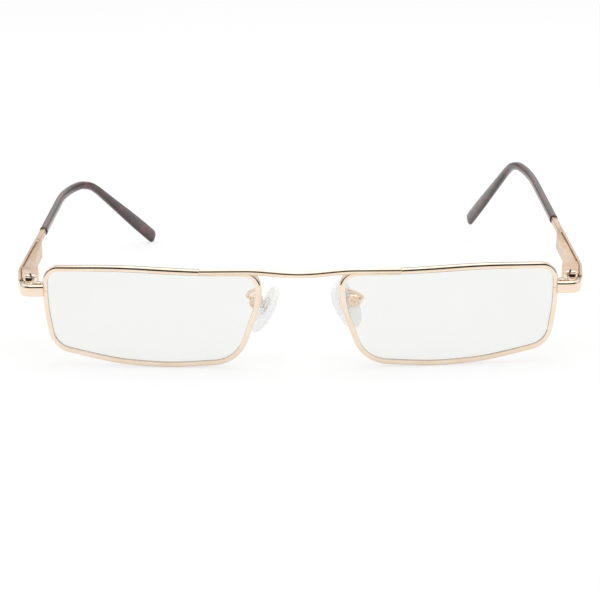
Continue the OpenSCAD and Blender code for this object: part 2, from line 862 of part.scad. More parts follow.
module pad_arm(side) {
    path = arm_path(side);
    color(GOLD)
        on_side(side)
            skin([for (k = [0:arm_n]) let (
                p = bezier(path, k / arm_n),
                axes = across_path(slope(path, k / arm_n))
            ) [for (j = [0:7]) let (c = arm_d / 2 * polar(45 * j)) p + axes[0] * c[0] - axes[1] * c[1]]]);
}

bridge_bar();
rim(RIGHT);  // right_rim
rim(LEFT);  // left_rim
lens(RIGHT);  // right_lens
lens(LEFT);  // left_lens
end_piece(RIGHT);  // right_end_piece
end_piece(LEFT);  // left_end_piece
closing_block(RIGHT, 1);  // right_closing_block_upper
closing_block(LEFT, 1);  // left_closing_block_upper
closing_block(RIGHT, -1);  // right_closing_block_lower
closing_block(LEFT, -1);  // left_closing_block_lower
closing_screw(RIGHT);  // right_closing_screw
closing_screw(LEFT);  // left_closing_screw
front_hinge(RIGHT);  // right_front_hinge
front_hinge(LEFT);  // left_front_hinge
hinge_screw(RIGHT);  // right_hinge_screw
hinge_screw(LEFT);  // left_hinge_screw
slider(RIGHT);  // right_slider
slider(LEFT);  // left_slider
spring_stop(RIGHT);  // right_spring_stop
spring_stop(LEFT);  // left_spring_stop
hinge_spring(RIGHT);  // right_hinge_spring
hinge_spring(LEFT);  // left_hinge_spring
spring_case(RIGHT);  // right_spring_case
spring_case(LEFT);  // left_spring_case
temple(RIGHT);  // right_temple
temple(LEFT);  // left_temple
temple_sleeve(RIGHT);  // right_temple_sleeve
temple_sleeve(LEFT);  // left_temple_sleeve
pad_arm(RIGHT);  // right_pad_arm
pad_arm(LEFT);  // left_pad_arm
pad_box(RIGHT);  // right_pad_box
pad_box(LEFT);  // left_pad_box
pad_screw(RIGHT);  // right_pad_screw
pad_screw(LEFT);  // left_pad_screw
pad_core(RIGHT);  // right_pad_core
pad_core(LEFT);  // left_pad_core
nose_pad(RIGHT);  // right_nose_pad
nose_pad(LEFT);  // left_nose_pad
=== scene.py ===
"""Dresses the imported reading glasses: rims, bar, lenses, hinges, temples, sleeves and pads."""
import json
import logging
import math
from dataclasses import dataclass, field
from enum import Enum
from functools import cached_property
from typing import Callable, Iterable, Sequence

import bmesh
import bpy
from mathutils import Matrix, Vector


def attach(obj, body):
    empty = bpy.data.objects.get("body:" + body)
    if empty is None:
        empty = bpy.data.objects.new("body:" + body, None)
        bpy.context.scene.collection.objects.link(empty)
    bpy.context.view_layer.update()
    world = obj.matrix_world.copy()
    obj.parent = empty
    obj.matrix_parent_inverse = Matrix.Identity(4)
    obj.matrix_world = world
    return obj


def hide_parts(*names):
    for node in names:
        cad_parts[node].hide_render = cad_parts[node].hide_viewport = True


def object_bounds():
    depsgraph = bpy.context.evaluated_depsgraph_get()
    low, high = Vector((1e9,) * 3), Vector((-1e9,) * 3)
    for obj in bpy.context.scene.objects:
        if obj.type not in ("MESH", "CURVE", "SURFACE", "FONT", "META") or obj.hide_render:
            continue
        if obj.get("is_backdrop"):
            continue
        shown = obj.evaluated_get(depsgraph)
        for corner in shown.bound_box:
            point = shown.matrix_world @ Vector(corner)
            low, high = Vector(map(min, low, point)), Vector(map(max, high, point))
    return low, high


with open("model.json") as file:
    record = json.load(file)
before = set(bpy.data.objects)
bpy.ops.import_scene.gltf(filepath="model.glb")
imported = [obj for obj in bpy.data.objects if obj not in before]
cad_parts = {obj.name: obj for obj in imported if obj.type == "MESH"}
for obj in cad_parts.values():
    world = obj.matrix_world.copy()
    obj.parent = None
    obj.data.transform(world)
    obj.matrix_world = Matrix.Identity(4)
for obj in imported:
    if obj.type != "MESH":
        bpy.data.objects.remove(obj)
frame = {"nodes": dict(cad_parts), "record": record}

LOG = logging.getLogger("glasses")
CAD_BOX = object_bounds()
MM = 0.001
SAME_POINT = 0.0001 * MM
SAME_CAD_POINT = 0.001 * MM
# Most of a noise texture's values lie between these two.
NOISE_LOW, NOISE_HIGH = 0.35, 0.65

Piece = bpy.types.Object
Material = bpy.types.Material
Tree = bpy.types.NodeTree
Socket = bpy.types.NodeSocket
Pair = tuple[float, float]
Triple = tuple[float, float, float]
Stops = tuple[tuple[float, str], ...]
Settings = tuple[tuple[str, float], ...]
Ring = list[Vector]
Place = Callable[[Vector], Vector]


class Side(Enum):
    """The wearer's own sides; the right side is at -X."""

    RIGHT = "right"
    LEFT = "left"

    @property
    def sign(self) -> int:
        """Sign of this side's X."""
        return -1 if self is Side.RIGHT else 1

    @property
    def index(self) -> int:
        """Place of this side's value in a pair of sizes."""
        return 0 if self is Side.RIGHT else 1

    def node(self, name: str) -> str:
        """Name of this side's copy of a CAD node."""
        return f"{self.value}_{name}"


class Ends(Enum):
    """How a swept piece closes."""

    CAPPED = "capped"
    RING = "ring"


def srgb(code: str) -> tuple[float, float, float, float]:
    """Turns an sRGB hex colour into linear values.

    Args:
        code: The colour as #rrggbb.

    Returns:
        Linear red, green, blue and an alpha of 1.
    """
    parts = [int(code[i:i + 2], 16) / 255 for i in (1, 3, 5)]
    linear = [c / 12.92 if c <= 0.04045 else ((c + 0.055) / 1.055) ** 2.4 for c in parts]
    return (linear[0], linear[1], linear[2], 1.0)


def mix(a: float, b: float, t: float) -> float:
    """Value between a and b at share t."""
    return a + (b - a) * t


def smooth(t: float) -> float:
    """Eases a share from 0 to 1 with no corner at either end."""
    t = min(1.0, max(0.0, t))
    return t * t * (3 - 2 * t)


def polar(degrees: float, radius: float = 1.0) -> Vector:
    """Point of a circle about the origin, in a plane."""
    a = math.radians(degrees)
    return Vector((radius * math.cos(a), radius * math.sin(a)))


def quarter(steps: int) -> list[float]:
    """Angles of a quarter turn in even steps, in radians."""
    return [math.radians(90 * k / steps) for k in range(steps + 1)]


def spin(degrees: float, axis: str) -> Matrix:
    """Turn about an axis through the origin."""
    return Matrix.Rotation(math.radians(degrees), 4, axis)


def rounded_section(steps: int, power: float) -> list[Vector]:
    """Unit section between an ellipse and a rectangle.

    Args:
        steps: Number of points.
        power: 1 gives a circle, and less gives flatter sides.

    Returns:
        The points, anticlockwise.
    """
    points = []
    for k in range(steps):
        c = polar(360 * (k + 0.5) / steps)
        points.append(Vector([math.copysign(abs(v) ** power, v) for v in c]))
    return points


@dataclass(frozen=True)
class Layout:
    """Sizes that place every piece, in millimetres and degrees, as in the part's source."""

    lens_w: float = 52.2
    lens_h: float = 23.7
    lens_gap: float = 20.5
    lens_t: float = 2.2
    lens_y: float = 1.0
    base_r: float = 110.0
    wrap: float = 6.5
    rim_wall: float = 0.75
    rim_depth: float = 1.8
    groove: float = 0.6
    bar_d: float = 1.4
    bar_lap: float = 13.6
    bar_dip: float = 0.6
    bar_bow: float = 1.0
    bar_free: float = 13.5
    bar_under: float = 0.8
    end_out: float = 5.9
    end_h: float = 2.8
    end_t: float = 1.3
    end_bend: float = 3.6
    end_proud: float = 0.35
    side_gap: float = 0.1
    butt_back: float = 0.5
    butt_gap: float = 0.1
    flare: float = 14.0
    hinge_up: float = 5.0
    hinge_back: float = 6.3
    axis_in: float = 2.1
    barrel_r: float = 1.7
    barrel_h: float = 4.2
    screw_r: float = 0.55
    case_len: float = 32.5
    ear_at: float = 100.0
    ear_len: float = 44.0
    plate_out: float = 3.7
    plate_h: float = 4.0
    plate_t: float = 0.9
    neck_h: float = 2.0
    neck_t: float = 1.6
    sleeve_at: float = 45.0
    sleeve_h: float = 2.4
    sleeve_t: float = 2.2
    paddle_h: float = 4.2
    paddle_t: float = 1.7
    drop: Pair = (37.0, 41.0)
    inward: Pair = (25.0, 13.5)
    toe: Pair = (0.4, 2.0)
    pitch: Pair = (5.01963, 8.01963)
    seat_gap: float = 0.03
    run_gap: float = 0.05

    @property
    def half_w(self) -> float:
        """Half the lens width."""
        return self.lens_w / 2

    @property
    def half_h(self) -> float:
        """Half the lens height."""
        return self.lens_h / 2

    @property
    def half_d(self) -> float:
        """Half the rim's depth."""
        return self.rim_depth / 2

    @property
    def lens_x(self) -> float:
        """Middle of a lens, from the nose."""
        return (self.lens_gap + self.lens_w) / 2

    def sag(self, p: Vector) -> float:
        """Depth of the front's curve at a point of the lens plane."""
        return self.base_r - math.sqrt(self.base_r ** 2 - p.x ** 2 - p.y ** 2)

    def corners(self) -> list[Triple]:
        """Corners of the lens as (toward the temple, up, radius)."""
        w, h = self.half_w, self.half_h
        return [
            (w, h - 1.45, 3.6),
            (0.3 * w, h - 0.34, 150),
            (-w, h - 1.8, 3.9),
            (-w, 0.25 * h, 20),
            (5.2 - w, 0.47 - h, 8.3),
            (-0.15 * w, -0.39 - h, 80),
            (0.3 * w, 0.27 - h, 60),
            (w - 1.7, 3.0 - h, 5.3),
            (w, 0.16 * h, 40),
        ]

    def outline(self, step: float = 1.0) -> list[tuple[Vector, float]]:
        """Lens edge with its rounded corners.

        Args:
            step: Longest stretch between two points.

        Returns:
            Each point with the angle of its outward normal, anticlockwise.
        """
        corners = self.corners()
        points = [Vector(c[:2]) for c in corners]
        arcs = []
        for i, (_, _, radius) in enumerate(corners):
            before = points[i] - points[i - 1]
            after = points[(i + 1) % len(points)] - points[i]
            start = math.degrees(math.atan2(before.y, before.x))
            turn = (math.degrees(math.atan2(after.y, after.x)) - start) % 360
            half = math.tan(math.radians(turn / 2))
            # An arc takes a little less than half of the shorter side beside it.
            r = min(radius, 0.49 * min(before.length, after.length) / half)
            centre = points[i] - r * half * polar(start) + r * polar(start + 90)
            arcs.append((centre, r, start - 90, turn))
        edge = []
        for i, (centre, r, start, turn) in enumerate(arcs):
            # A step along an arc is 5 degrees at most, and a corner has three or more.
            n = max(3, math.ceil(turn / 5), math.ceil(math.radians(turn) * r / step))
            for k in range(n + 1):
                a = start + turn * k / n
                edge.append((centre + polar(a, r), a))
            follow = arcs[(i + 1) % len(arcs)]
            first, last = edge[-1][0], follow[0] + polar(follow[2], follow[1])
            n = math.ceil((last - first).length / step)
            edge.extend((first.lerp(last, k / n), follow[2]) for k in range(1, n))
        return edge

    @property
    def lens_z(self) -> float:
        """Height of the lens middle: the rims stand on the table."""
        return -min((p + polar(a, self.rim_wall)).y for p, a in self.outline())

    def lens_point(self, p: Vector, depth: float) -> Vector:
        """Place on the left side of a point of the lens plane.

        Args:
            p: The point, toward the temple and up.
            depth: Distance toward the back.

        Returns:
            The place, in the frame that the front's nose starts.
        """
        c, s = math.cos(math.radians(self.wrap)), math.sin(math.radians(self.wrap))
        return Vector((
            self.lens_x + p.x * c - depth * s,
            self.lens_y + p.x * s + depth * c,
            self.lens_z + p.y,
        ))

    @property
    def rim_side(self) -> Vector:
        """Outside of the rim beside the end piece."""
        side = Vector((self.half_w + self.rim_wall, 0.0))
        return self.lens_point(side, self.sag(Vector((self.half_w, self.hinge_up))))

    @property
    def end_y(self) -> float:
        """Front face of the end piece."""
        return self.rim_side.y - self.half_d - self.end_proud

    @property
    def hinge(self) -> Vector:
        """Middle of the hinge axis."""
        return Vector((
            self.rim_side.x + self.side_gap + self.end_out - self.axis_in,
            self.end_y + self.hinge_back,
            self.lens_z + self.hinge_up,
        ))

    @property
    def butt_y(self) -> float:
        """Back end of the end piece."""
        return self.hinge.y + self.butt_back

    @property
    def bend_mid(self) -> Vector:
        """Middle of the end piece's bend, in plan."""
        return Vector((self.hinge.x + self.axis_in - self.end_bend, self.end_y + self.end_bend))

    def tail_x(self, r: float, y: float) -> float:
        """X of the end piece's tail, r out from the middle of its bend."""
        s, c = math.sin(math.radians(self.flare)), math.cos(math.radians(self.flare))
        return self.bend_mid.x + (r + (y - self.bend_mid.y) * s) / c

    def bar_swell(self, x: float) -> float:
        """Share of the bar's dip and bow at a distance from the nose."""
        x = min(abs(x), self.bar_free)
        return (1 + math.cos(math.pi * x / self.bar_free)) / 2

    @property
    def bar_half(self) -> float:
        """Half the length of the bar."""
        return self.lens_gap / 2 + self.bar_lap

    @property
    def bar_y(self) -> float:
        """Middle of the bar where it lies along the rims."""
        at = (self.bar_half - self.lens_x) / math.cos(math.radians(self.wrap))
        p = Vector((at, self.half_h))
        front = self.lens_point(p, self.sag(p) - self.half_d).y
        return front - self.bar_d / 2 - self.seat_gap

    @property
    def bar_z(self) -> float:
        """Height of the bar where it lies along the rims."""
        return self.lens_z + self.half_h - self.bar_under

    @property
    def middle_y(self) -> float:
        """Distance from the nose's frame to the row frame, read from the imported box."""
        front = self.bar_y - self.bar_bow - self.bar_d / 2
        return front - CAD_BOX[0][1] / MM


PLAN = Layout()
MIDDLE_Y = PLAN.middle_y


def to_row(side: Side, p: Vector) -> Vector:
    """Turns a left-side point in millimetres into the row frame in metres."""
    return Vector((side.sign * p.x, p.y - MIDDLE_Y, p.z)) * MM


def temple_matrix(side: Side) -> Matrix:
    """Frame of a temple on the left side: X outward, Y along it, from the hinge."""
    toe, pitch = PLAN.toe[side.index], PLAN.pitch[side.index]
    return Matrix.Translation(PLAN.hinge) @ spin(toe, "Z") @ spin(pitch, "X")


NODE_BODY = {
    node: body for body, nodes in frame["record"]["behaviour"]["bodies"].items() for node in nodes
}


def deselect() -> None:
    """Clears the selection, as an operator acts on all that is selected."""
    for item in list(bpy.context.selected_objects):
        item.select_set(False)
    bpy.context.view_layer.objects.active = None


def pick(piece: Piece) -> None:
    """Makes one piece the only one selected.

    Args:
        piece: The piece that the next operator acts on.
    """
    deselect()
    piece.select_set(True)
    bpy.context.view_layer.objects.active = piece


def edit(piece: Piece, *steps: Callable[[], object]) -> Piece:
    """Runs edit-mode steps on the whole of a piece.

    Args:
        piece: The piece to work on.
        steps: Calls that each run one or more mesh operators.

    Returns:
        The same piece, back in object mode.
    """
    pick(piece)
    bpy.ops.object.mode_set(mode="EDIT")
    for step in steps:
        bpy.ops.mesh.select_all(action="SELECT")
        step()
    bpy.ops.object.mode_set(mode="OBJECT")
    return piece


def sweep(name: str, rings: Sequence[Ring], ends: Ends = Ends.CAPPED) -> Piece:
    """Draws a circle, sets it on the first ring and extrudes it from ring to ring.

    Args:
        name: Name of the new piece.
        rings: Points of each ring in the row frame, as many in each.
        ends: Whether the ends are capped or the last ring meets the first.

    Returns:
        The closed piece, with its faces outward.
    """
    deselect()
    fill = "NGON" if ends is Ends.CAPPED else "NOTHING"
    bpy.ops.mesh.primitive_circle_add(vertices=len(rings[0]), radius=MM, fill_type=fill)
    piece = bpy.context.object
    piece.name = piece.data.name = name
    bpy.ops.object.mode_set(mode="EDIT")
    mesh = bmesh.from_edit_mesh(piece.data)
    place = mesh.verts.layers.int.new("place")
    for i, (vertex, point) in enumerate(zip(mesh.verts, rings[0])):
        vertex[place] = i
        vertex.co = point
    onward = list(rings[1:]) + ([rings[0]] if ends is Ends.RING else [])
    for ring in onward:
        bpy.ops.mesh.extrude_region_move()
        mesh = bmesh.from_edit_mesh(piece.data)
        place = mesh.verts.layers.int["place"]
        mesh.verts.ensure_lookup_table()
        for vertex in mesh.verts[-len(ring):]:
            vertex.co = ring[vertex[place]]
    bmesh.update_edit_mesh(piece.data)
    bpy.ops.object.mode_set(mode="OBJECT")
    piece.data.attributes.remove(piece.data.attributes["place"])
    return edit(
        piece,
        lambda: bpy.ops.mesh.remove_doubles(threshold=SAME_POINT),
        lambda: bpy.ops.mesh.normals_make_consistent(inside=False),
    )


def prism(name: str, outline: Iterable[Vector], up: Vector) -> Piece:
    """Draws a flat outline in the row frame and extrudes it once, to a closed piece."""
    base = list(outline)
    return sweep(name, [base, [p + up for p in base]])


def turned(name: str, profile: Sequence[Pair], place: Place, steps: int = 40) -> Piece:
    """Turns a profile of (radius, height) about the local Z axis, to a closed piece."""
    return sweep(name, [
        [place(Vector((*polar(360 * k / steps, radius), height))) for k in range(steps)]
        for radius, height in profile
    ])


def block(name: str, low: Vector, high: Vector, place: Place) -> Piece:
    """Box between two local corners, used for blocks and for cuts."""
    corners = [(low.x, low.y), (high.x, low.y), (high.x, high.y), (low.x, high.y)]
    return sweep(name, [[place(Vector((x, y, z))) for x, y in corners] for z in (low.z, high.z)])


def modify(piece: Piece, kind: str, **settings: object) -> Piece:
    """Adds a modifier with its settings and applies it.

    Args:
        piece: The piece to change.
        kind: Blender's name of the modifier.
        settings: The modifier's values.

    Returns:
        The same piece.
    """
    pick(piece)
    modifier = piece.modifiers.new(kind.lower(), kind)
    for key, value in settings.items():
        setattr(modifier, key, value)
    bpy.ops.object.modifier_apply(modifier=modifier.name)
    return piece


def cut(piece: Piece, tool: Piece) -> Piece:
    """Takes a tool's shape out of a piece, with the tool's finish on the cut.

    Args:
        piece: The piece to change.
        tool: The shape to take out, which is deleted after it.

    Returns:
        The changed piece.
    """
    modify(piece, "BOOLEAN", operation="DIFFERENCE", object=tool, solver="EXACT",
           material_mode="TRANSFER")
    bpy.data.objects.remove(tool)
    return piece


def soften(piece: Piece, width: float, segments: int = 3, angle: float = 32.0) -> Piece:
    """Rounds the edges that are sharper than an angle, to a width in millimetres."""
    return modify(piece, "BEVEL", width=width * MM, segments=segments, limit_method="ANGLE",
                  angle_limit=math.radians(angle), harden_normals=False)


def from_cad(name: str, node: str) -> Piece:
    """Copies a node's mesh, merges its loose triangles and clears its flat faces' inner edges.

    Args:
        name: Name of the new piece.
        node: The CAD node.

    Returns:
        The new piece.
    """
    mesh = frame["nodes"][node].data.copy()
    mesh.materials.clear()
    piece = bpy.data.objects.new(name, mesh)
    bpy.context.scene.collection.objects.link(piece)
    return edit(
        piece,
        lambda: bpy.ops.mesh.remove_doubles(threshold=SAME_CAD_POINT),
        lambda: bpy.ops.mesh.dissolve_limited(angle_limit=math.radians(1.0)),
    )


def paint(piece: Piece, finish: Material) -> None:
    """Gives a whole piece one material."""
    piece.data.materials.clear()
    piece.data.materials.append(finish)


def fit(piece: Piece, node: str, finish: Material | None = None, angle: float = 38.0) -> None:
    """Shades a finished piece, dresses it and sets it in place of its node.

    Args:
        piece: The finished piece.
        node: The CAD node that it stands for.
        finish: Its material, or None where it already has its own.
        angle: Edges sharper than this stay crisp, in degrees.
    """
    if finish is not None:
        paint(piece, finish)
    pick(piece)
    bpy.ops.object.shade_smooth_by_angle(angle=math.radians(angle))
    deselect()
    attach(piece, NODE_BODY[node])
    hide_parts(node)
    LOG.info("%s stands for %s on %s", piece.name, node, NODE_BODY[node])


def dress(node: str, finish: Material) -> None:
    """Gives a CAD node that stays its material."""
    paint(frame["nodes"][node], finish)
    LOG.info("%s keeps its CAD shape", node)


def empty_tree(owner: Material | bpy.types.World) -> Tree:
    """Gives a material or world its nodes, and takes out the ones that it starts with.

    Args:
        owner: The material or world.

    Returns:
        Its empty node tree.
    """
    owner.use_nodes = True
    owner.node_tree.nodes.clear()
    return owner.node_tree


def add_node(tree: Tree, kind: str, settings: dict[str | int, object] | None = None,
             links: dict[str | int, Socket] | None = None) -> bpy.types.Node:
    """Adds a shader node with its settings and links.

    Args:
        tree: The node tree.
        kind: Blender's name of the node's type.
        settings: Values of its properties or, where no property has the name, of its inputs.
        links: Sockets that feed its inputs, by name or place.

    Returns:
        The new node.
    """
    node = tree.nodes.new(kind)
    for key, value in (settings or {}).items():
        if isinstance(key, str) and hasattr(node, key):
            setattr(node, key, value)
        else:
            node.inputs[key].default_value = value
    for key, socket in (links or {}).items():
        tree.links.new(socket, node.inputs[key])
    return node


def per_mm(size: float) -> float:
    """Scale of a texture on Object coordinates, so that one feature has a size in millimetres."""
    return 1 / (size * MM)


@dataclass(frozen=True)
class Finish:
    """A material: clouds of colour, and a fine grain for its gloss and relief.

    Clouds and grain each have a size in millimetres and a detail. A stop is a place in the
    clouds and its colour, the gloss is the least and greatest roughness, and the relief is a
    strength and a depth in millimetres.
    """

    name: str
    stops: Stops
    clouds: Pair
    grain: Pair
    gloss: Pair
    relief: Pair = (0.0, 0.0)
    drawn: float = 1.0
    shader: Settings = ()

    def patterns(self, tree: Tree, place: Socket) -> list[Socket]:
        """Adds the clouds and the grain.

        Args:
            tree: The material's tree.
            place: The Object coordinates.

        Returns:
            The pattern of the colours, and that of the gloss and relief.
        """
        along = place
        if self.drawn > 1:
            along = add_node(tree, "ShaderNodeMapping", {"Scale": (1.0, 1 / self.drawn, 1.0)},
                             {"Vector": place}).outputs["Vector"]
        return [
            add_node(tree, "ShaderNodeTexNoise", {"Scale": per_mm(size), "Detail": detail},
                     {"Vector": at}).outputs["Fac"]
            for at, (size, detail) in ((along, self.clouds), (place, self.grain))
        ]

    def material(self) -> Material:
        """Builds the material: its patterns, what follows them, the shader and the output.

        Returns:
            The material.
        """
        material = bpy.data.materials.new(self.name)
        tree = empty_tree(material)
        place = add_node(tree, "ShaderNodeTexCoord").outputs["Object"]
        clouds, grain = self.patterns(tree, place)
        colour = add_node(tree, "ShaderNodeValToRGB", links={"Fac": clouds})
        elements = colour.color_ramp.elements
        for element, (at, code) in zip(elements, (self.stops[0], self.stops[-1])):
            element.position, element.color = at, srgb(code)
        for at, code in self.stops[1:-1]:
            elements.new(at).color = srgb(code)
        rough = add_node(tree, "ShaderNodeMapRange", {
            "From Min": NOISE_LOW, "From Max": NOISE_HIGH,
            "To Min": self.gloss[0], "To Max": self.gloss[1],
        }, {"Value": grain})
        links = {"Base Color": colour.outputs["Color"], "Roughness": rough.outputs["Result"]}
        strength, depth = self.relief
        if strength:
            bump = add_node(tree, "ShaderNodeBump", {
                "Strength": strength, "Distance": depth * MM}, {"Height": grain})
            links["Normal"] = bump.outputs["Normal"]
        shader = add_node(tree, "ShaderNodeBsdfPrincipled", dict(self.shader), links)
        add_node(tree, "ShaderNodeOutputMaterial", links={"Surface": shader.outputs["BSDF"]})
        return material


@dataclass(frozen=True)
class PlatedMetal(Finish):
    """Nickel-silver with a thin pale gold plate, buffed mirror bright, with faint clouding.

    The buffing wheel leaves marks a quarter of a millimetre apart: they break up the mirror
    image without dulling it.
    """

    stops: Stops = ((0.36, "#f6e1ca"), (0.64, "#fae9d6"))
    clouds: Pair = (5.0, 3.0)
    grain: Pair = (0.25, 4.0)
    gloss: Pair = (0.03, 0.09)
    relief: Pair = (0.25, 0.0015)
    shader: Settings = (("Metallic", 1.0),)


@dataclass(frozen=True)
class TurnedSteel(Finish):
    """Bare turned steel: grey, with the lathe's rings catching the light.

    The real rings are too fine to show, so they are drawn at the grain's size.
    """

    stops: Stops = ((0.0, "#a8a199"), (1.0, "#cdc7bf"))
    clouds: Pair = (0.18, 2.0)
    grain: Pair = (0.18, 2.0)
    gloss: Pair = (0.2, 0.34)
    relief: Pair = (0.3, 0.004)
    shader: Settings = (("Metallic", 1.0),)
    waver: float = 1.5

    def patterns(self, tree: Tree, place: Socket) -> list[Socket]:
        """Adds the rings, which colour, gloss and relief all follow.

        Args:
            tree: The material's tree.
            place: The Object coordinates.

        Returns:
            The rings, once for the colours and once for the gloss and relief.
        """
        size, detail = self.grain
        rings = add_node(tree, "ShaderNodeTexWave", {
            "wave_type": "BANDS", "bands_direction": "Y", "Scale": per_mm(size) / math.tau,
            "Distortion": self.waver, "Detail": detail,
        }, {"Vector": place})
        return [rings.outputs["Fac"]] * 2


@dataclass(frozen=True)
class PaintedSlotShade(Finish):
    """Painted shade of a screw slot: dark red-brown over dark metal on the slot's floor and walls.
    """

    stops: Stops = ((0.0, "#3a2018"), (1.0, "#8a4a2c"))
    clouds: Pair = (0.4, 3.0)
    grain: Pair = (0.4, 3.0)
    gloss: Pair = (0.35, 0.6)
    shader: Settings = (("Metallic", 0.35),)


@dataclass(frozen=True)
class ClearResin(Finish):
    """Clear cast or moulded resin: a faint uneven tint, and a surface not quite perfect."""

    stops: Stops = ((0.0, "#f0f1ee"), (1.0, "#f2f3f0"))
    clouds: Pair = (9.0, 1.0)
    grain: Pair = (0.6, 3.0)
    gloss: Pair = (0.0, 0.012)
    shader: Settings = (("IOR", 1.5), ("Transmission Weight", 1.0))


@dataclass(frozen=True)
class TortoiseAcetate(Finish):
    """Tumbled cellulose acetate: dark brown with red-brown clouds drawn out along the temple.

    Tumbling leaves a surface that waves over half a millimetre, so its shine is soft.
    """

    stops: Stops = ((0.38, "#241211"), (0.52, "#391c1a"), (0.68, "#602c2b"))
    clouds: Pair = (2.6, 4.0)
    grain: Pair = (0.5, 3.0)
    gloss: Pair = (0.16, 0.26)
    relief: Pair = (0.3, 0.01)
    drawn: float = 4.0
    shader: Settings = (
        ("IOR", 1.33), ("Coat Weight", 1.0), ("Coat IOR", 1.3), ("Coat Roughness", 0.08))


class Palette:
    """The finishes of the glasses, made once."""

    def __init__(self) -> None:
        """Makes each finish's material."""
        self.polished = PlatedMetal("polished_gold_plate").material()
        # Blasting before the plate spreads the shine of the temples and cases. Its real grain
        # is too fine to show, so it is drawn coarser.
        self.satin = PlatedMetal(
            "satin_gold_plate", stops=((0.36, "#dfc0a2"), (0.64, "#ecd3ba")),
            grain=(0.18, 4.0), gloss=(0.24, 0.34), relief=(0.25, 0.004)).material()
        self.steel = TurnedSteel("turned_steel").material()
        # A screw slot's floor and walls are painted dark red-brown: painted shade of the slot.
        self.slot_painted_shade = PaintedSlotShade("painted_slot_shade").material()
        self.lens = ClearResin("cast_lens_resin").material()
        self.core = ClearResin(
            "moulded_polycarbonate", stops=((0.0, "#f1f2f1"), (1.0, "#f8f9f8")),
            gloss=(0.0, 0.05), shader=(("IOR", 1.1), ("Transmission Weight", 1.0))).material()
        # Milky silicone is part clear to the eye by its alpha, and doesn't bend the light.
        self.silicone = ClearResin(
            "moulded_silicone", stops=((0.0, "#eeefee"), (1.0, "#fbfbfa")), clouds=(3.0, 1.0),
            grain=(2.0, 3.0), gloss=(0.16, 0.24),
            shader=(("IOR", 1.35), ("Alpha", 0.36))).material()
        self.acetate = TortoiseAcetate("tortoise_acetate").material()


@dataclass(frozen=True)
class SlottedScrew:
    """Screw along local -Z with a domed, slotted head above z = 0.

    The root and the point are the shank's shares at the thread's bottom and at its end, and
    the lead is the tip before the thread. The brim and the slot's floor are shares of the
    head's height, and the crest is the dome's flat share of its radius.
    """

    shank: float
    length: float
    head: float
    height: float
    slot: float = 0.3
    pitch: float = 0.12
    root: float = 0.86
    point: float = 0.6
    lead: float = 0.15
    neck: float = 0.05
    brim: float = 0.55
    crest: float = 0.05
    floor: float = 0.45
    chamfer: float = 0.08

    def turn(self, name: str, place: Place, palette: Palette) -> Piece:
        """Turns the screw, with rings for its thread, and mills its slot.

        Args:
            name: Name of the new piece.
            place: Turns a local point into the row frame.
            palette: The finishes.

        Returns:
            The screw, dressed.
        """
        head, height, length = self.head, self.height, self.length
        dome = [(head * math.cos(a), height * mix(self.brim, 1, math.sin(a)))
                for a in quarter(8)[1:-1]]
        # Every other ring stands out, so that the shank reads as threaded.
        thread = [(self.shank * (1.0 if k % 2 else self.root), self.lead - length + self.pitch * k)
                  for k in range(1, int((length - 2 * self.lead) / self.pitch))]
        screw = turned(name, [
            (self.point * self.shank, -length), (self.root * self.shank, self.lead - length),
            *thread, (self.shank, -self.neck), (self.shank, 0.0), (head - self.chamfer, 0.0),
            (head, self.chamfer), (head, self.brim * height), *dome, (self.crest * head, height),
        ], place)
        screw.data.materials.append(palette.polished)
        tool = block(f"{name}_slot", Vector((-2 * head, -self.slot / 2, self.floor * height)),
                     Vector((2 * head, self.slot / 2, 2 * height)), place)
        # The slot's cut faces take the painted shade of the slot.
        tool.data.materials.append(palette.slot_painted_shade)
        return cut(screw, tool)


def wire_ring(side: Side, middle: Vector, slope: Vector, radius: float, sides: int) -> Ring:
    """Round section of a wire.

    Args:
        side: The wire's side.
        middle: Middle of the section, on the left side.
        slope: Direction of the wire there.
        radius: Radius of the wire.
        sides: Number of points.

    Returns:
        Its points in the row frame.
    """
    across = slope.cross(Vector((0, 0, 1))).normalized()
    up = across.cross(slope)
    return [to_row(side, middle + c.x * across + c.y * up)
            for c in (polar(360 * k / sides, radius) for k in range(sides))]


@dataclass
class SidePart:
    """A sub-assembly that each side has its own copy of."""

    side: Side
    palette: Palette

    @cached_property
    def frame(self) -> Matrix:
        """Frame that the sub-assembly's points are given in, on the left side."""
        return Matrix.Identity(4)

    def put(self, p: Vector) -> Vector:
        """Place in the row frame of a point of this sub-assembly."""
        return to_row(self.side, self.frame @ p)

    def name(self, word: str) -> str:
        """Name of this side's copy of a piece."""
        return self.side.node(word)

    def fit(self, piece: Piece, node: str, finish: Material | None = None,
            angle: float = 38.0) -> None:
        """Sets a finished piece in place of this side's copy of a node."""
        fit(piece, self.name(node), finish, angle)

    def sweep(self, word: str, rings: Iterable[Ring], ends: Ends = Ends.CAPPED) -> Piece:
        """Sweeps a piece of this side through rings of the sub-assembly's own points."""
        return sweep(self.name(word), [[self.put(p) for p in ring] for ring in rings], ends)

    def fasten(self, screw: SlottedScrew, kind: str, place: Place) -> None:
        """Turns a screw and sets it in place of its node."""
        self.fit(screw.turn(self.name(f"{kind}_slotted"), place, self.palette), f"{kind}_screw")


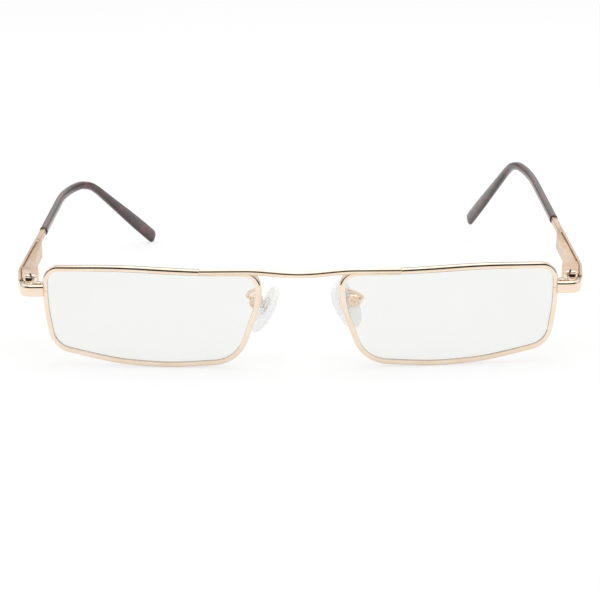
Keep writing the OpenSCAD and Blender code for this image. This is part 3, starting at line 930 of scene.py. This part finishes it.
@dataclass
class BridgeBar:
    """Wire soldered along the front of both rims and over the nose."""

    palette: Palette
    radius: float = 0.78
    tip_len: float = 0.4
    steps: int = 128
    sides: int = 24

    def centre(self, x: float) -> Vector:
        """Middle of the bar at a distance from the nose."""
        swell = PLAN.bar_swell(x)
        return Vector((x, PLAN.bar_y - PLAN.bar_bow * swell, PLAN.bar_z - PLAN.bar_dip * swell))

    def ring(self, x: float, radius: float) -> Ring:
        """Round section at a distance from the nose, in the row frame."""
        slope = (self.centre(x + 0.01) - self.centre(x - 0.01)).normalized()
        return wire_ring(Side.LEFT, self.centre(x), slope, radius, self.sides)

    def build(self) -> None:
        """Draws the bar with drawn-down round ends."""
        half, r = PLAN.bar_half, self.radius
        tip = [(self.tip_len * math.sin(a), r * math.cos(a)) for a in (0.3, 0.6, 0.9, 1.2, 1.45)]
        rings = [self.ring(-half - d, c) for d, c in reversed(tip)]
        rings += [self.ring(mix(-half, half, k / self.steps), r) for k in range(self.steps + 1)]
        rings += [self.ring(half + d, c) for d, c in tip]
        fit(sweep("bar_wire", rings), "bridge_bar", self.palette.polished)


@dataclass
class Front(SidePart):
    """One rim with its lens, end piece and closing blocks."""

    outer_round: float = 0.44
    crown: float = 0.1
    inner_round: float = 0.1
    tongue: float = 0.33
    lens_gap: float = 0.005
    lens_bevel: float = 0.3
    apex_share: float = 0.45
    front_curve: float = 0.91
    back_curve: float = 1.27
    split: float = 0.16
    saw: float = 0.05
    solder: float = 0.25
    broad_round: float = 0.85
    fine_round: float = 0.28
    facet: float = 32.0
    block_size: Triple = (2.2, 2.3, 1.2)
    block_round: float = 0.25
    drill_r: float = 0.45
    lock_r: float = 0.4
    lock_head_r: float = 0.95
    lock_head_h: float = 0.5

    def wire_section(self) -> list[Vector]:
        """Draws the rim's section, rounded outside and grooved inside.

        Returns:
            Its points, as (outward, backward).
        """
        w, g, d = PLAN.rim_wall, PLAN.groove, PLAN.half_d
        outer, inner, gap = self.outer_round, self.inner_round, PLAN.seat_gap
        points = [Vector((-g, -self.tongue))]
        for x, y, radius, start, steps in (
            (inner - g, inner - d, inner, 180, 4),
            (w - outer, outer - d, outer, 270, 8),
            (w - outer, d - outer, outer, 0, 8),
            (inner - g, d - inner, inner, 90, 4),
        ):
            points += [Vector((x, y)) + polar(start + 90 * k / steps, radius)
                       for k in range(steps + 1)]
        # Drawing crowns the outer face, so that it falls away toward both its edges.
        for point in points:
            point.x -= self.crown * (point.y / d) ** 2 * smooth((point.x + g) / (w + g))
        groove = ((-g, self.tongue), (gap, self.tongue), (gap, -self.tongue))
        return points + [Vector(p) for p in groove]

    def rim(self) -> None:
        """Draws the rim round the lens and saws it open behind the end piece."""
        section = self.wire_section()
        rings = []
        for edge, angle in PLAN.outline():
            points = [(edge + polar(angle, s.x), s.y) for s in section]
            rings.append([PLAN.lens_point(p, PLAN.sag(p) + d) for p, d in points])
        wire = self.sweep("rim_wire", rings, Ends.RING)
        # The saw starts inside the lens and runs out past the rim.
        x, y, z, reach = PLAN.lens_x + PLAN.half_w - 4, PLAN.lens_y, PLAN.hinge.z, 20
        cut(wire, block("saw", Vector((x, y, z - self.saw / 2)),
                        Vector((x + reach, y + reach, z + self.saw / 2)), self.put))
        self.fit(wire, "rim", self.palette.polished)

    def lens(self) -> None:
        """Draws the lens as rings from its front middle, over its edge, to its back middle."""
        front_r, back_r = self.front_curve * PLAN.base_r, self.back_curve * PLAN.base_r
        apex, bevel = self.apex_share * PLAN.lens_t, self.lens_bevel

        def depth(p: Vector, radius: float, top: float) -> float:
            """Depth of a lens face at a point."""
            return radius - math.sqrt(radius ** 2 - p.length_squared) - top

        edge = [(p + polar(a, -PLAN.groove - self.lens_gap), p) for p, a in PLAN.outline()]
        shares = [0.02, 0.15, 0.3, 0.45, 0.6, 0.75, 0.88, 0.96, 1.0]
        rings = [[(s * p, depth(s * p, front_r, apex)) for p, _ in edge] for s in shares]
        rings += [[(pair[i], PLAN.sag(pair[i]) + off) for pair in edge]
                  for i, off in ((0, -bevel), (1, -bevel), (1, bevel), (0, bevel))]
        rings += [[(s * p, depth(s * p, back_r, apex - PLAN.lens_t)) for p, _ in edge]
                  for s in reversed(shares)]
        lens = self.sweep("lens_disc", [[PLAN.lens_point(p, d) for p, d in r] for r in rings])
        # Through the edge the eye sees the rim's groove, so the edge has the rim's colour.
        lens.data.materials.append(self.palette.lens)
        lens.data.materials.append(self.palette.polished)
        front, back = (self.put(PLAN.lens_point(Vector((0, 0)), d)) for d in (0, 1))
        axis = (back - front).normalized()
        for polygon in lens.data.polygons:
            polygon.material_index = int(abs(polygon.normal.dot(axis)) < 0.5)
        self.fit(lens, "lens", angle=20)
        # A clear lens lets the studio light through, so it casts no shadow of its own.
        lens.visible_shadow = False

    def bent_face(self, r: float, y: float) -> list[Vector]:
        """Face of the end piece: round its bend, then straight back.

        Args:
            r: Distance of the face from the middle of the bend.
            y: Where the face ends at the back.

        Returns:
            Its points, in plan.
        """
        steps = 18
        bend = [PLAN.bend_mid + polar(mix(-90, -PLAN.flare, k / steps), r)
                for k in range(steps + 1)]
        return bend + [Vector((PLAN.tail_x(r, y), y))]

    def end_piece(self) -> None:
        """Bends the strip from the rim round to the hinge and rounds its edges."""
        x = PLAN.rim_side.x - self.solder
        tail = PLAN.end_bend - PLAN.plate_t
        inner = self.bent_face(PLAN.end_bend - PLAN.end_t, PLAN.hinge.y - PLAN.barrel_r)
        outline = [
            Vector((x, PLAN.end_y)),
            *self.bent_face(PLAN.end_bend, PLAN.butt_y),
            Vector((PLAN.tail_x(tail, PLAN.butt_y), PLAN.butt_y)),
            Vector((PLAN.tail_x(tail, PLAN.hinge.y), PLAN.hinge.y)),
            *reversed(inner),
            Vector((x, PLAN.end_y + PLAN.end_t)),
        ]
        low = PLAN.hinge.z - PLAN.end_h / 2
        strip = prism(self.name("bent_strip"), [self.put(Vector((*p, low))) for p in outline],
                      Vector((0, 0, PLAN.end_h * MM)))
        self.round_strip(strip)
        self.fit(strip, "end_piece", self.palette.polished)

    def round_strip(self, strip: Piece) -> None:
        """Rounds the strip's upper front edge broadly and its other edges finely.

        Args:
            strip: The bent strip, with sharp edges.
        """
        mesh = bmesh.new()
        mesh.from_mesh(strip.data)
        weight = mesh.edges.layers.float.new("bevel_weight_edge")
        for edge in mesh.edges:
            # The bend's facets meet at less than this, and stay as they are.
            if math.degrees(edge.calc_face_angle()) < self.facet:
                continue
            normals = [face.normal for face in edge.link_faces]
            upper = max(n.z for n in normals) > 0.9
            front = max(-n.y + 0.4 * self.side.sign * n.x for n in normals) > 0.3
            edge[weight] = 1.0 if upper and front else self.fine_round / self.broad_round
        mesh.to_mesh(strip.data)
        mesh.free()
        modify(strip, "BEVEL", width=self.broad_round * MM, segments=6, limit_method="WEIGHT")

    def closing(self) -> None:
        """Builds the two blocks that hold the split rim, and their screw."""
        w, d, h = self.block_size
        z, gap = PLAN.hinge.z, PLAN.seat_gap
        low = Vector((PLAN.rim_side.x + PLAN.side_gap + gap, PLAN.end_y + PLAN.end_t + gap, 0))
        axis = low + Vector((w / 2, d / 2, 0))
        for name, bottom in (("upper", z + self.split / 2), ("lower", z - self.split / 2 - h)):
            corner = Vector((low.x, low.y, bottom))
            piece = block(self.name(f"closing_{name}"), corner, corner + Vector((w, d, h)),
                          self.put)
            soften(piece, self.block_round)
            hole = [(self.drill_r, bottom - 1), (self.drill_r, bottom + h + 1)]
            cut(piece, turned("drill", hole, lambda p: self.put(p + axis)))
            self.fit(piece, f"closing_block_{name}", self.palette.polished)
        top = Vector((axis.x, axis.y, z + self.split / 2 + h + gap))
        length = 2 * h + self.split + gap
        screw = SlottedScrew(self.lock_r, length, self.lock_head_r, self.lock_head_h)
        self.fasten(screw, "closing", lambda p: self.put(p + top))

    def build(self) -> None:
        """Builds this side of the front."""
        self.rim()
        self.lens()
        self.end_piece()
        self.closing()


@dataclass
class Hinge(SidePart):
    """Spring hinge: outer knuckles, screw, sliding knuckle, coil spring and stop."""

    rod_x: float = 1.25
    coil_r: float = 0.5
    coil_wire: float = 0.13
    coil_from: float = 5.36
    coil_to: float = 9.76
    coil_turns: int = 9
    coil_close: float = 0.4
    turn_steps: int = 20
    head_in: float = 0.1
    head_h: float = 0.8
    slot: float = 0.5
    slot_turn: float = 72.0

    @cached_property
    def frame(self) -> Matrix:
        """Frame of the temple, as the slider and its spring lie along it."""
        return temple_matrix(self.side)

    def knuckles(self) -> None:
        """Rounds the edges of the outer and middle knuckles."""
        for name, node, width in (
            ("hinge_foot", "front_hinge", 0.14), ("sliding_knuckle", "slider", 0.08),
        ):
            piece = soften(from_cad(self.name(name), self.name(node)), width, 2, 40)
            self.fit(piece, node, self.palette.polished)

    def screw(self) -> None:
        """Builds the hinge's pin with its big slotted head."""
        top = PLAN.hinge + Vector((0, 0, PLAN.barrel_h / 2 + PLAN.run_gap))
        turn = spin(self.slot_turn, "Z")
        screw = SlottedScrew(PLAN.screw_r, PLAN.barrel_h + PLAN.run_gap,
                             PLAN.barrel_r - self.head_in, self.head_h, self.slot)
        self.fasten(screw, "hinge", lambda p: to_row(self.side, turn @ p + top))

    def spring(self) -> None:
        """Winds the coil spring round the slider's rod."""
        steps = self.turn_steps * self.coil_turns
        rings = []
        for k in range(steps + 1):
            share = k / steps
            angle = 360 * self.coil_turns * share
            # The end turns lie close and flat, as on a ground spring.
            along = mix(self.coil_from + self.coil_wire, self.coil_to - self.coil_wire,
                        mix(share, smooth(share), self.coil_close))
            out = Vector((polar(angle).x, 0, polar(angle).y))
            middle = Vector((self.rod_x, along, 0)) + self.coil_r * out
            rings.append([middle + c.x * out + Vector((0, c.y, 0))
                          for c in (polar(45 * j, self.coil_wire) for j in range(8))])
        self.fit(self.sweep("coil", rings), "hinge_spring", self.palette.steel)

    def build(self) -> None:
        """Builds this side's hinge."""
        self.knuckles()
        self.screw()
        self.spring()
        dress(self.name("spring_stop"), self.palette.steel)


@dataclass
class Temple(SidePart):
    """Metal temple with its spring case and its acetate sleeve."""

    step: float = 2.0
    inward_back: float = 26.6
    inward_run: float = 22.9
    drop_back: float = 12.0
    drop_run: float = 18.0
    plate_settle: float = 8.0
    plate_taper: float = 0.9
    neck_step: float = 0.3
    core_t: float = 1.0
    core_h: float = 1.3
    pocket_spare: float = 0.1
    core_share: float = 0.6
    core_short: float = 2.4
    neck_gap: float = 0.1
    case_round: float = 0.28
    end_round: float = 2.2
    end_power: float = 0.8
    paddle_full: float = 8.0
    points: int = 28
    path: list[Vector] = field(default_factory=list)

    def __post_init__(self) -> None:
        """Walks the temple's path once, from the hinge to its end."""
        point = Vector((PLAN.plate_out, 0, 0))
        for k in range(int(self.end / self.step) + 2):
            self.path.append(point.copy())
            point += self.step * self.ahead((k + 0.5) * self.step)
        self.unit = rounded_section(self.points, 0.6)
        self.round_unit = rounded_section(self.points, 0.85)

    @cached_property
    def frame(self) -> Matrix:
        """Frame of the temple, from the hinge."""
        return temple_matrix(self.side)

    @property
    def end(self) -> float:
        """Length of the temple from the hinge axis."""
        return PLAN.ear_at + PLAN.ear_len

    @property
    def plate_end(self) -> float:
        """Where the plate steps down to the neck."""
        return PLAN.case_len + 0.2

    def angles(self, s: float) -> Pair:
        """Inward turn and drop of the path.

        Args:
            s: Length along the path.

        Returns:
            Both angles, in radians.
        """
        i, past = self.side.index, s - PLAN.ear_at
        turn = PLAN.inward[i] * smooth((past + self.inward_back) / self.inward_run)
        dip = PLAN.drop[i] * smooth((past + self.drop_back) / self.drop_run)
        return math.radians(turn), math.radians(dip)

    def ahead(self, s: float) -> Vector:
        """Direction of the path at a length."""
        t, d = self.angles(s)
        return Vector((-math.sin(t) * math.cos(d), math.cos(t) * math.cos(d), -math.sin(d)))

    def section(self, s: float, thick: float, high: float, shift: float = 0.0,
                unit: list[Vector] | None = None) -> Ring:
        """Rounded section across the path, in the temple's frame.

        Args:
            s: Length along the path.
            thick: Thickness from side to side.
            high: Height.
            shift: How far the section stands outside the path.
            unit: Unit section, or None for the metal's flat one.

        Returns:
            Its points.
        """
        i = min(int(s / self.step), len(self.path) - 1)
        middle = self.path[i] + (s - i * self.step) * self.ahead(s)
        t, d = self.angles(s)
        out = Vector((math.cos(t), math.sin(t), 0))
        up = Vector((-math.sin(t) * math.sin(d), math.cos(t) * math.sin(d), math.cos(d)))
        return [
            middle + out * (shift + c.x * thick / 2) + up * (c.y * high / 2)
            for c in unit or self.unit
        ]

    def lengths(self, start: float, stop: float, step: float) -> list[float]:
        """Even lengths from start to stop."""
        n = max(1, math.ceil((stop - start) / step))
        return [mix(start, stop, k / n) for k in range(n + 1)]

    def plate_ring(self, s: float) -> Ring:
        """Section of the plate, which closes in from the end piece.

        Args:
            s: Length along the path.

        Returns:
            Its points.
        """
        start = PLAN.tail_x(PLAN.end_bend - PLAN.plate_t / 2, PLAN.butt_y) - PLAN.hinge.x
        shift = (start - PLAN.plate_out) * (1 - smooth(s / self.plate_settle))
        high = PLAN.plate_h * mix(1, self.plate_taper, s / self.plate_end)
        return self.section(s, PLAN.plate_t, high, shift)

    def front_ring(self) -> Ring:
        """First section of the plate, cut square to meet the end piece.

        Returns:
            Its points.
        """
        toe, pitch = (math.radians(v[self.side.index]) for v in (PLAN.toe, PLAN.pitch))
        front = PLAN.butt_y + PLAN.butt_gap - PLAN.hinge.y
        return [Vector((
            p.x,
            ((front - p.x * math.sin(toe)) / math.cos(toe) + p.z * math.sin(pitch))
            / math.cos(pitch),
            p.z,
        )) for p in self.plate_ring(0)]

    def core_rings(self, spare: float = 0.0) -> list[Ring]:
        """Sections of the core inside the sleeve."""
        last = PLAN.ear_at + self.core_share * PLAN.ear_len - self.core_short
        return [self.section(s, self.core_t + spare, self.core_h + spare)
                for s in self.lengths(PLAN.sleeve_at + 1, last, 2.0)]

    def metal(self) -> None:
        """Draws the plate, its step down to the neck, and the core."""
        neck, mouth = self.plate_end + 1, PLAN.sleeve_at - self.neck_gap
        rings = [self.front_ring()]
        rings += [self.plate_ring(s) for s in self.lengths(1.5, self.plate_end - 0.2, 1.2)]
        high = (self.plate_taper * PLAN.plate_h, PLAN.neck_h + self.neck_step)
        rings += [self.section(mix(self.plate_end, neck, share),
                               mix(PLAN.plate_t, PLAN.neck_t, smooth(share)),
                               mix(*high, smooth(share)))
                  for share in (k / 4 for k in range(5))]
        rings += [self.section(s, PLAN.neck_t, PLAN.neck_h)
                  for s in self.lengths(neck + 3, mouth - 0.3, 2.0)]
        rings += [self.section(mouth, self.core_t, self.core_h), *self.core_rings()]
        self.fit(self.sweep("temple_strip", rings), "temple", self.palette.satin, 50)

    def case(self) -> None:
        """Rounds the spring case, whose front wraps the hinge barrel like a saddle."""
        piece = from_cad(self.name("saddle_case"), self.name("spring_case"))
        soften(piece, self.case_round, 3, 40)
        self.fit(piece, "spring_case", self.palette.satin, 45)

    def sleeve(self) -> None:
        """Draws the sleeve from the bottom of its pocket, over its mouth, to its round end."""
        def sizes(s: float) -> Pair:
            """Thickness and height of the sleeve at a length."""
            paddle = smooth((s - PLAN.ear_at) / (self.end - PLAN.ear_at - self.paddle_full))
            return (mix(PLAN.sleeve_t, PLAN.paddle_t, paddle),
                    mix(PLAN.sleeve_h, PLAN.paddle_h, paddle))

        def skin(s: float, thick: float, high: float) -> Ring:
            """Rounder section of the acetate at a length."""
            return self.section(s, thick, high, unit=self.round_unit)

        spare, mouth = self.pocket_spare, PLAN.sleeve_at
        rings = list(reversed(self.core_rings(spare)))
        rings.append(self.section(mouth, self.core_t + spare, self.core_h + spare))
        rings += [skin(mouth + on, PLAN.sleeve_t - inset, PLAN.sleeve_h - inset)
                  for on, inset in ((0.0, 0.5), (0.05, 0.22), (0.2, 0.06))]
        rings += [skin(s, *sizes(s)) for s in self.lengths(mouth + 0.5, self.end - 2.4, 1.5)]
        for a in quarter(10)[1:-1]:
            s = self.end - self.end_round + (self.end_round - 0.05) * math.sin(a)
            rings.append(skin(s, *(math.cos(a) ** self.end_power * v for v in sizes(s))))
        self.fit(self.sweep("acetate_tip", rings), "temple_sleeve", self.palette.acetate, 50)

    def build(self) -> None:
        """Builds this side's temple."""
        self.metal()
        self.case()
        self.sleeve()


@dataclass
class NosePad(SidePart):
    """Screw-on nose pad with its arm, box, screw and core."""

    out: Pair = (0.75, 3.2)
    back: Pair = (8.0, 7.4)
    up: Pair = (1.4, 1.9)
    splay: Pair = (4.0, 30.0)
    flare: Pair = (30.0, 27.0)
    tilt: float = 12.0
    length: float = 13.0
    width: float = 7.5
    thick: float = 2.4
    stand: float = 2.4
    rise: float = 1.0
    dome_r: float = 21.6
    back_round: float = 0.4
    front_round: float = 0.55
    back_share: float = 0.94
    front_share: float = 0.9
    disc_r: float = 2.23
    disc_t: float = 0.53
    arm_d: float = 0.9
    arm_up: float = 6.0
    arm_back: Triple = (0.4, 3.4, -0.2)
    arm_lead: float = 2.4
    arm_sink: float = 0.06
    solder: float = 0.45
    box_r: float = 1.9
    box_len: float = 2.6
    box_round: float = 0.6
    dome_from: float = 1.08
    bore_r: float = 1.0
    bore_deep: float = 0.2
    open_at: float = 1.3
    lug_r: float = 1.1
    lug_t: float = 1.2
    drill_r: float = 0.43
    pin_r: float = 0.4
    pin_head_r: float = 0.85
    pin_head_h: float = 0.4
    points: int = 72

    @cached_property
    def frame(self) -> Matrix:
        """Frame of the pad, from the middle of its screw: X to the nose, Y along the screw."""
        i = self.side.index
        middle = Vector((PLAN.lens_gap / 2 + self.out[i], PLAN.lens_y + self.back[i],
                         PLAN.lens_z + self.up[i]))
        return (Matrix.Translation(middle) @ spin(self.tilt, "X") @ spin(-self.flare[i], "Y")
                @ spin(180 - self.splay[i], "Z"))

    def put_across(self, p: Vector) -> Vector:
        """Place of a point given about the pad's screw, which is the local Z axis."""
        return self.put(spin(90, "X") @ p)

    def arm(self) -> None:
        """Draws the wire from the rim's back, looped to the back of the box."""
        foot = Vector((-PLAN.half_w, self.arm_up))
        start = PLAN.lens_point(foot, PLAN.sag(foot) + PLAN.half_d + PLAN.seat_gap)
        path = [start, start + Vector(self.arm_back)]
        path += [self.frame @ Vector((-self.box_r - back, 0, 0))
                 for back in (self.arm_lead, self.arm_sink)]
        legs = [after - before for before, after in zip(path, path[1:])]
        steps = 48
        rings = []
        for t in (k / steps for k in range(steps + 1)):
            u = 1 - t
            middle = sum((w * p for w, p in zip(
                (u ** 3, 3 * t * u ** 2, 3 * t * t * u, t ** 3), path)), Vector())
            slope = sum((w * leg for w, leg in zip(
                (3 * u ** 2, 6 * t * u, 3 * t * t), legs)), Vector()).normalized()
            # The solder leaves a small foot on the rim.
            radius = self.arm_d / 2 * (1 + self.solder * (1 - smooth(t / 0.07)))
            rings.append(wire_ring(self.side, middle, slope, radius, 12))
        self.fit(sweep(self.name("arm_wire"), rings), "pad_arm", self.palette.polished)

    def box(self) -> None:
        """Turns the round box, mills its slot and its open front, and drills its screw hole."""
        half, r = self.box_len / 2, self.box_r
        dome = [(mix(self.dome_from, r, math.sin(a)), half - self.box_round * (1 - math.cos(a)))
                for a in quarter(8)]
        # A shallow counterbore leaves a dark ring round the screw's head.
        floor = half - self.bore_deep
        end = [(0.1, floor), (self.bore_r, floor), *dome]
        profile = [(radius, -height) for radius, height in end] + end[::-1]
        box = turned(self.name("round_box"), profile, self.put_across, 64)
        far, slot = 4 * r, self.lug_t / 2 + PLAN.run_gap
        for low in (Vector((-self.lug_r - 0.1, -slot, -far)), Vector((self.open_at, -far, -far))):
            cut(box, block("mill", low, Vector((far, -low.y, far)), self.put))
        hole = [(self.drill_r, -far), (self.drill_r, far)]
        cut(box, turned("drill", hole, self.put_across))
        self.fit(soften(box, 0.06, 2, 40), "pad_box", self.palette.polished)

    def hardware(self) -> None:
        """Rounds the core and turns the screw."""
        core = from_cad(self.name("disc_and_lug"), self.name("pad_core"))
        self.fit(soften(core, 0.07, 2, 40), "pad_core", self.palette.core)
        lift = Vector((0, 0, self.box_len / 2 + PLAN.seat_gap))
        length = self.box_len + PLAN.seat_gap
        screw = SlottedScrew(self.pin_r, length, self.pin_head_r, self.pin_head_h)
        self.fasten(screw, "pad", lambda p: self.put_across(p + lift))

    def stadium(self, angle: float) -> Vector:
        """Edge of the pad in one direction.

        Args:
            angle: The direction, in degrees.

        Returns:
            The point, as (across, up).
        """
        side, half = self.width / 2, (self.length - self.width) / 2
        d = polar(angle)
        if abs(d.x) > 1e-6 and abs(d.y / d.x) * side <= half:
            return d * (side / abs(d.x))
        c = math.copysign(half, d.y)
        reach = d.y * c + math.sqrt(max(0.0, (d.y * c) ** 2 - c * c + side * side))
        return d * reach

    def soft_pad(self) -> None:
        """Moulds the pad from its recess for the core, over its soft edge, to its domed face."""
        angles = [360 * k / self.points for k in range(self.points)]
        edge = [self.stadium(a) for a in angles]
        centre = Vector((0, self.rise))
        disc = [centre + polar(a, self.disc_r) for a in angles]

        def dome(p: Vector) -> float:
            """Height of the domed face at a point."""
            return self.thick - self.dome_r + math.sqrt(self.dome_r ** 2 - p.length_squared)

        def ring(points: list[Vector], height: Callable[[Vector], float]) -> Ring:
            """Ring of the pad's frame at a height above its back."""
            return [Vector((self.stand + height(p), p.x, p.y - self.rise)) for p in points]

        rings = [ring([centre.lerp(p, share) for p in disc], lambda p, h=h: h)
                 for share, h in ((0.1, self.disc_t), (0.98, self.disc_t),
                                  (1.0, self.disc_t - 0.05), (1.0, 0.04), (1.03, 0.0))]
        back, front = self.back_share, self.front_share
        rings += [ring([d.lerp(back * e, s) for d, e in zip(disc, edge)], lambda p: 0.0)
                  for s in (0.35, 0.7, 1.0)]
        for a in quarter(6)[1:]:
            rings.append(ring([mix(back, 1, math.sin(a)) * e for e in edge],
                              lambda p, a=a: self.back_round * (1 - math.cos(a))))
        for a in quarter(6):
            rings.append(ring([mix(front, 1, math.cos(a)) * e for e in edge],
                              lambda p, a=a: dome(p) - self.front_round * (1 - math.sin(a))))
        rings += [ring([s * e for e in edge], dome) for s in (0.75, 0.55, 0.35, 0.15, 0.03)]
        self.fit(self.sweep("soft_pad", rings), "nose_pad", self.palette.silicone, 60)

    def build(self) -> None:
        """Builds this side's pad."""
        self.arm()
        self.box()
        self.hardware()
        self.soft_pad()


@dataclass
class Studio:
    """White floor, soft light and the photograph's camera."""

    floor_size: float = 9.0
    aim_down: float = 14.95
    roll: float = -0.407
    eye: Triple = (1.8, -386.46, 115.69)
    focal: float = 99.96
    shift: Pair = (-0.0133, 0.0287)
    floor_strength: float = 1.05
    floor_white: dict[str, float] = field(default_factory=lambda: {
        "Is Camera Ray": 0.62, "Is Glossy Ray": 0.3, "Is Transmission Ray": 0.45,
    })
    overhead: Pair = (0.5, 0.95)
    ahead: Pair = (-0.35, 0.05)
    backdrop: Pair = (0.28, 0.42)
    backdrop_share: float = 0.42
    lamp_size: Pair = (0.9, 0.7)
    lamp_place: Triple = (0.05, 0.12, 0.75)
    lamp_energy: float = 1.6

    def floor(self) -> None:
        """Lays the floor, which reads as white to the eye, to metal and through glass.

        Part of what such a ray sees is the paper's own white, so the glasses' shadow on it
        stays faint.
        """
        deselect()
        bpy.ops.mesh.primitive_plane_add(size=self.floor_size, location=(0, 0, 0))
        plane = bpy.context.object
        plane.name = "paper_floor"
        material = bpy.data.materials.new("white_paper")
        tree = empty_tree(material)
        rays = add_node(tree, "ShaderNodeLightPath")
        share = add_node(tree, "ShaderNodeValue").outputs["Value"]
        for ray, amount in self.floor_white.items():
            share = add_node(tree, "ShaderNodeMath", {"operation": "MULTIPLY_ADD", 1: amount},
                             {0: rays.outputs[ray], 2: share}).outputs["Value"]
        white = add_node(tree, "ShaderNodeEmission", {"Strength": self.floor_strength})
        paper = add_node(tree, "ShaderNodeBsdfDiffuse", {"Color": srgb("#ececec")})
        blend = add_node(tree, "ShaderNodeMixShader", links={
            0: share, 1: paper.outputs["BSDF"], 2: white.outputs["Emission"]})
        add_node(tree, "ShaderNodeOutputMaterial", links={"Surface": blend.outputs["Shader"]})
        plane.data.materials.append(material)
        plane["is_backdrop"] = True

    def surroundings(self) -> None:
        """Lights the room: white to the eye, with the dark room behind the camera for metal."""
        world = bpy.data.worlds.new("studio")
        bpy.context.scene.world = world
        tree = empty_tree(world)
        rays = add_node(tree, "ShaderNodeLightPath").outputs
        ray = add_node(tree, "ShaderNodeTexCoord").outputs["Generated"]
        axes = add_node(tree, "ShaderNodeSeparateXYZ", links={"Vector": ray}).outputs
        # Metal sees the dark room on the camera's side, from the floor to the softbox overhead.
        # Behind the glasses, a grey backdrop stands low over the floor.
        height, facing, low = (
            add_node(tree, "ShaderNodeMapRange", {
                "interpolation_type": "SMOOTHSTEP", "From Min": span[0], "From Max": span[1],
                "To Min": share, "To Max": 0.0,
            }, {"Value": axes[axis]}).outputs["Result"]
            for axis, span, share in (("Z", self.overhead, 1.0), ("Y", self.ahead, 1.0),
                                      ("Z", self.backdrop, self.backdrop_share)))
        dark = add_node(tree, "ShaderNodeMath", {"operation": "MULTIPLY"},
                        {0: height, 1: facing}).outputs["Value"]
        gloss = add_node(tree, "ShaderNodeMath", {"operation": "MAXIMUM"},
                         {0: dark, 1: low}).outputs["Value"]
        # Only a ray that metal or plastic mirrored sees it. One that came through clear resin
        # stays bright, so that the pads and what is behind a lens hold no dark sparkles.
        mirrored = add_node(tree, "ShaderNodeMath", {"operation": "GREATER_THAN", 1: 0.5},
                            {0: rays["Glossy Depth"]})
        outside = add_node(tree, "ShaderNodeMath", {"operation": "LESS_THAN", 1: 0.5},
                           {0: rays["Transmission Depth"]})
        for share in (rays["Is Glossy Ray"], mirrored.outputs["Value"], outside.outputs["Value"]):
            gloss = add_node(tree, "ShaderNodeMath", {"operation": "MULTIPLY"},
                             {0: gloss, 1: share}).outputs["Value"]
        white, room = (
            add_node(tree, "ShaderNodeBackground", {"Color": srgb(code), "Strength": 1.0})
            for code in ("#ffffff", "#2c2420"))
        blend = add_node(tree, "ShaderNodeMixShader", links={
            0: gloss, 1: white.outputs["Background"], 2: room.outputs["Background"]})
        add_node(tree, "ShaderNodeOutputWorld", links={"Surface": blend.outputs["Shader"]})

    def softbox(self) -> None:
        """Hangs one large soft light overhead."""
        data = bpy.data.lights.new("softbox", "AREA")
        data.shape = "RECTANGLE"
        data.size, data.size_y = self.lamp_size
        data.energy = self.lamp_energy
        lamp = bpy.data.objects.new("softbox", data)
        lamp.location = self.lamp_place
        bpy.context.scene.collection.objects.link(lamp)

    def camera(self) -> None:
        """Sets the camera at the photograph's viewpoint."""
        data = bpy.data.cameras.new("camera")
        data.lens = self.focal
        data.sensor_width = 36
        data.shift_x, data.shift_y = self.shift
        data.clip_start, data.clip_end = 0.01, 20
        eye = bpy.data.objects.new("camera", data)
        x, y, z = self.eye
        place = Matrix.Translation(Vector((x, y - MIDDLE_Y, z)) * MM)
        eye.matrix_world = place @ spin(90 - self.aim_down, "X") @ spin(self.roll, "Z")
        bpy.context.scene.collection.objects.link(eye)
        bpy.context.scene.camera = eye

    def build(self) -> None:
        """Builds the studio."""
        self.camera()
        self.floor()
        self.surroundings()
        self.softbox()
        bpy.context.scene.view_settings.view_transform = "Standard"


def main() -> None:
    """Builds the studio and the glasses."""
    logging.basicConfig(level=logging.INFO, format="%(message)s")
    palette = Palette()
    Studio().build()
    BridgeBar(palette).build()
    for side in Side:
        Front(side, palette).build()
        Hinge(side, palette).build()
        Temple(side, palette).build()
        NosePad(side, palette).build()


if __name__ == "__main__":
    main()
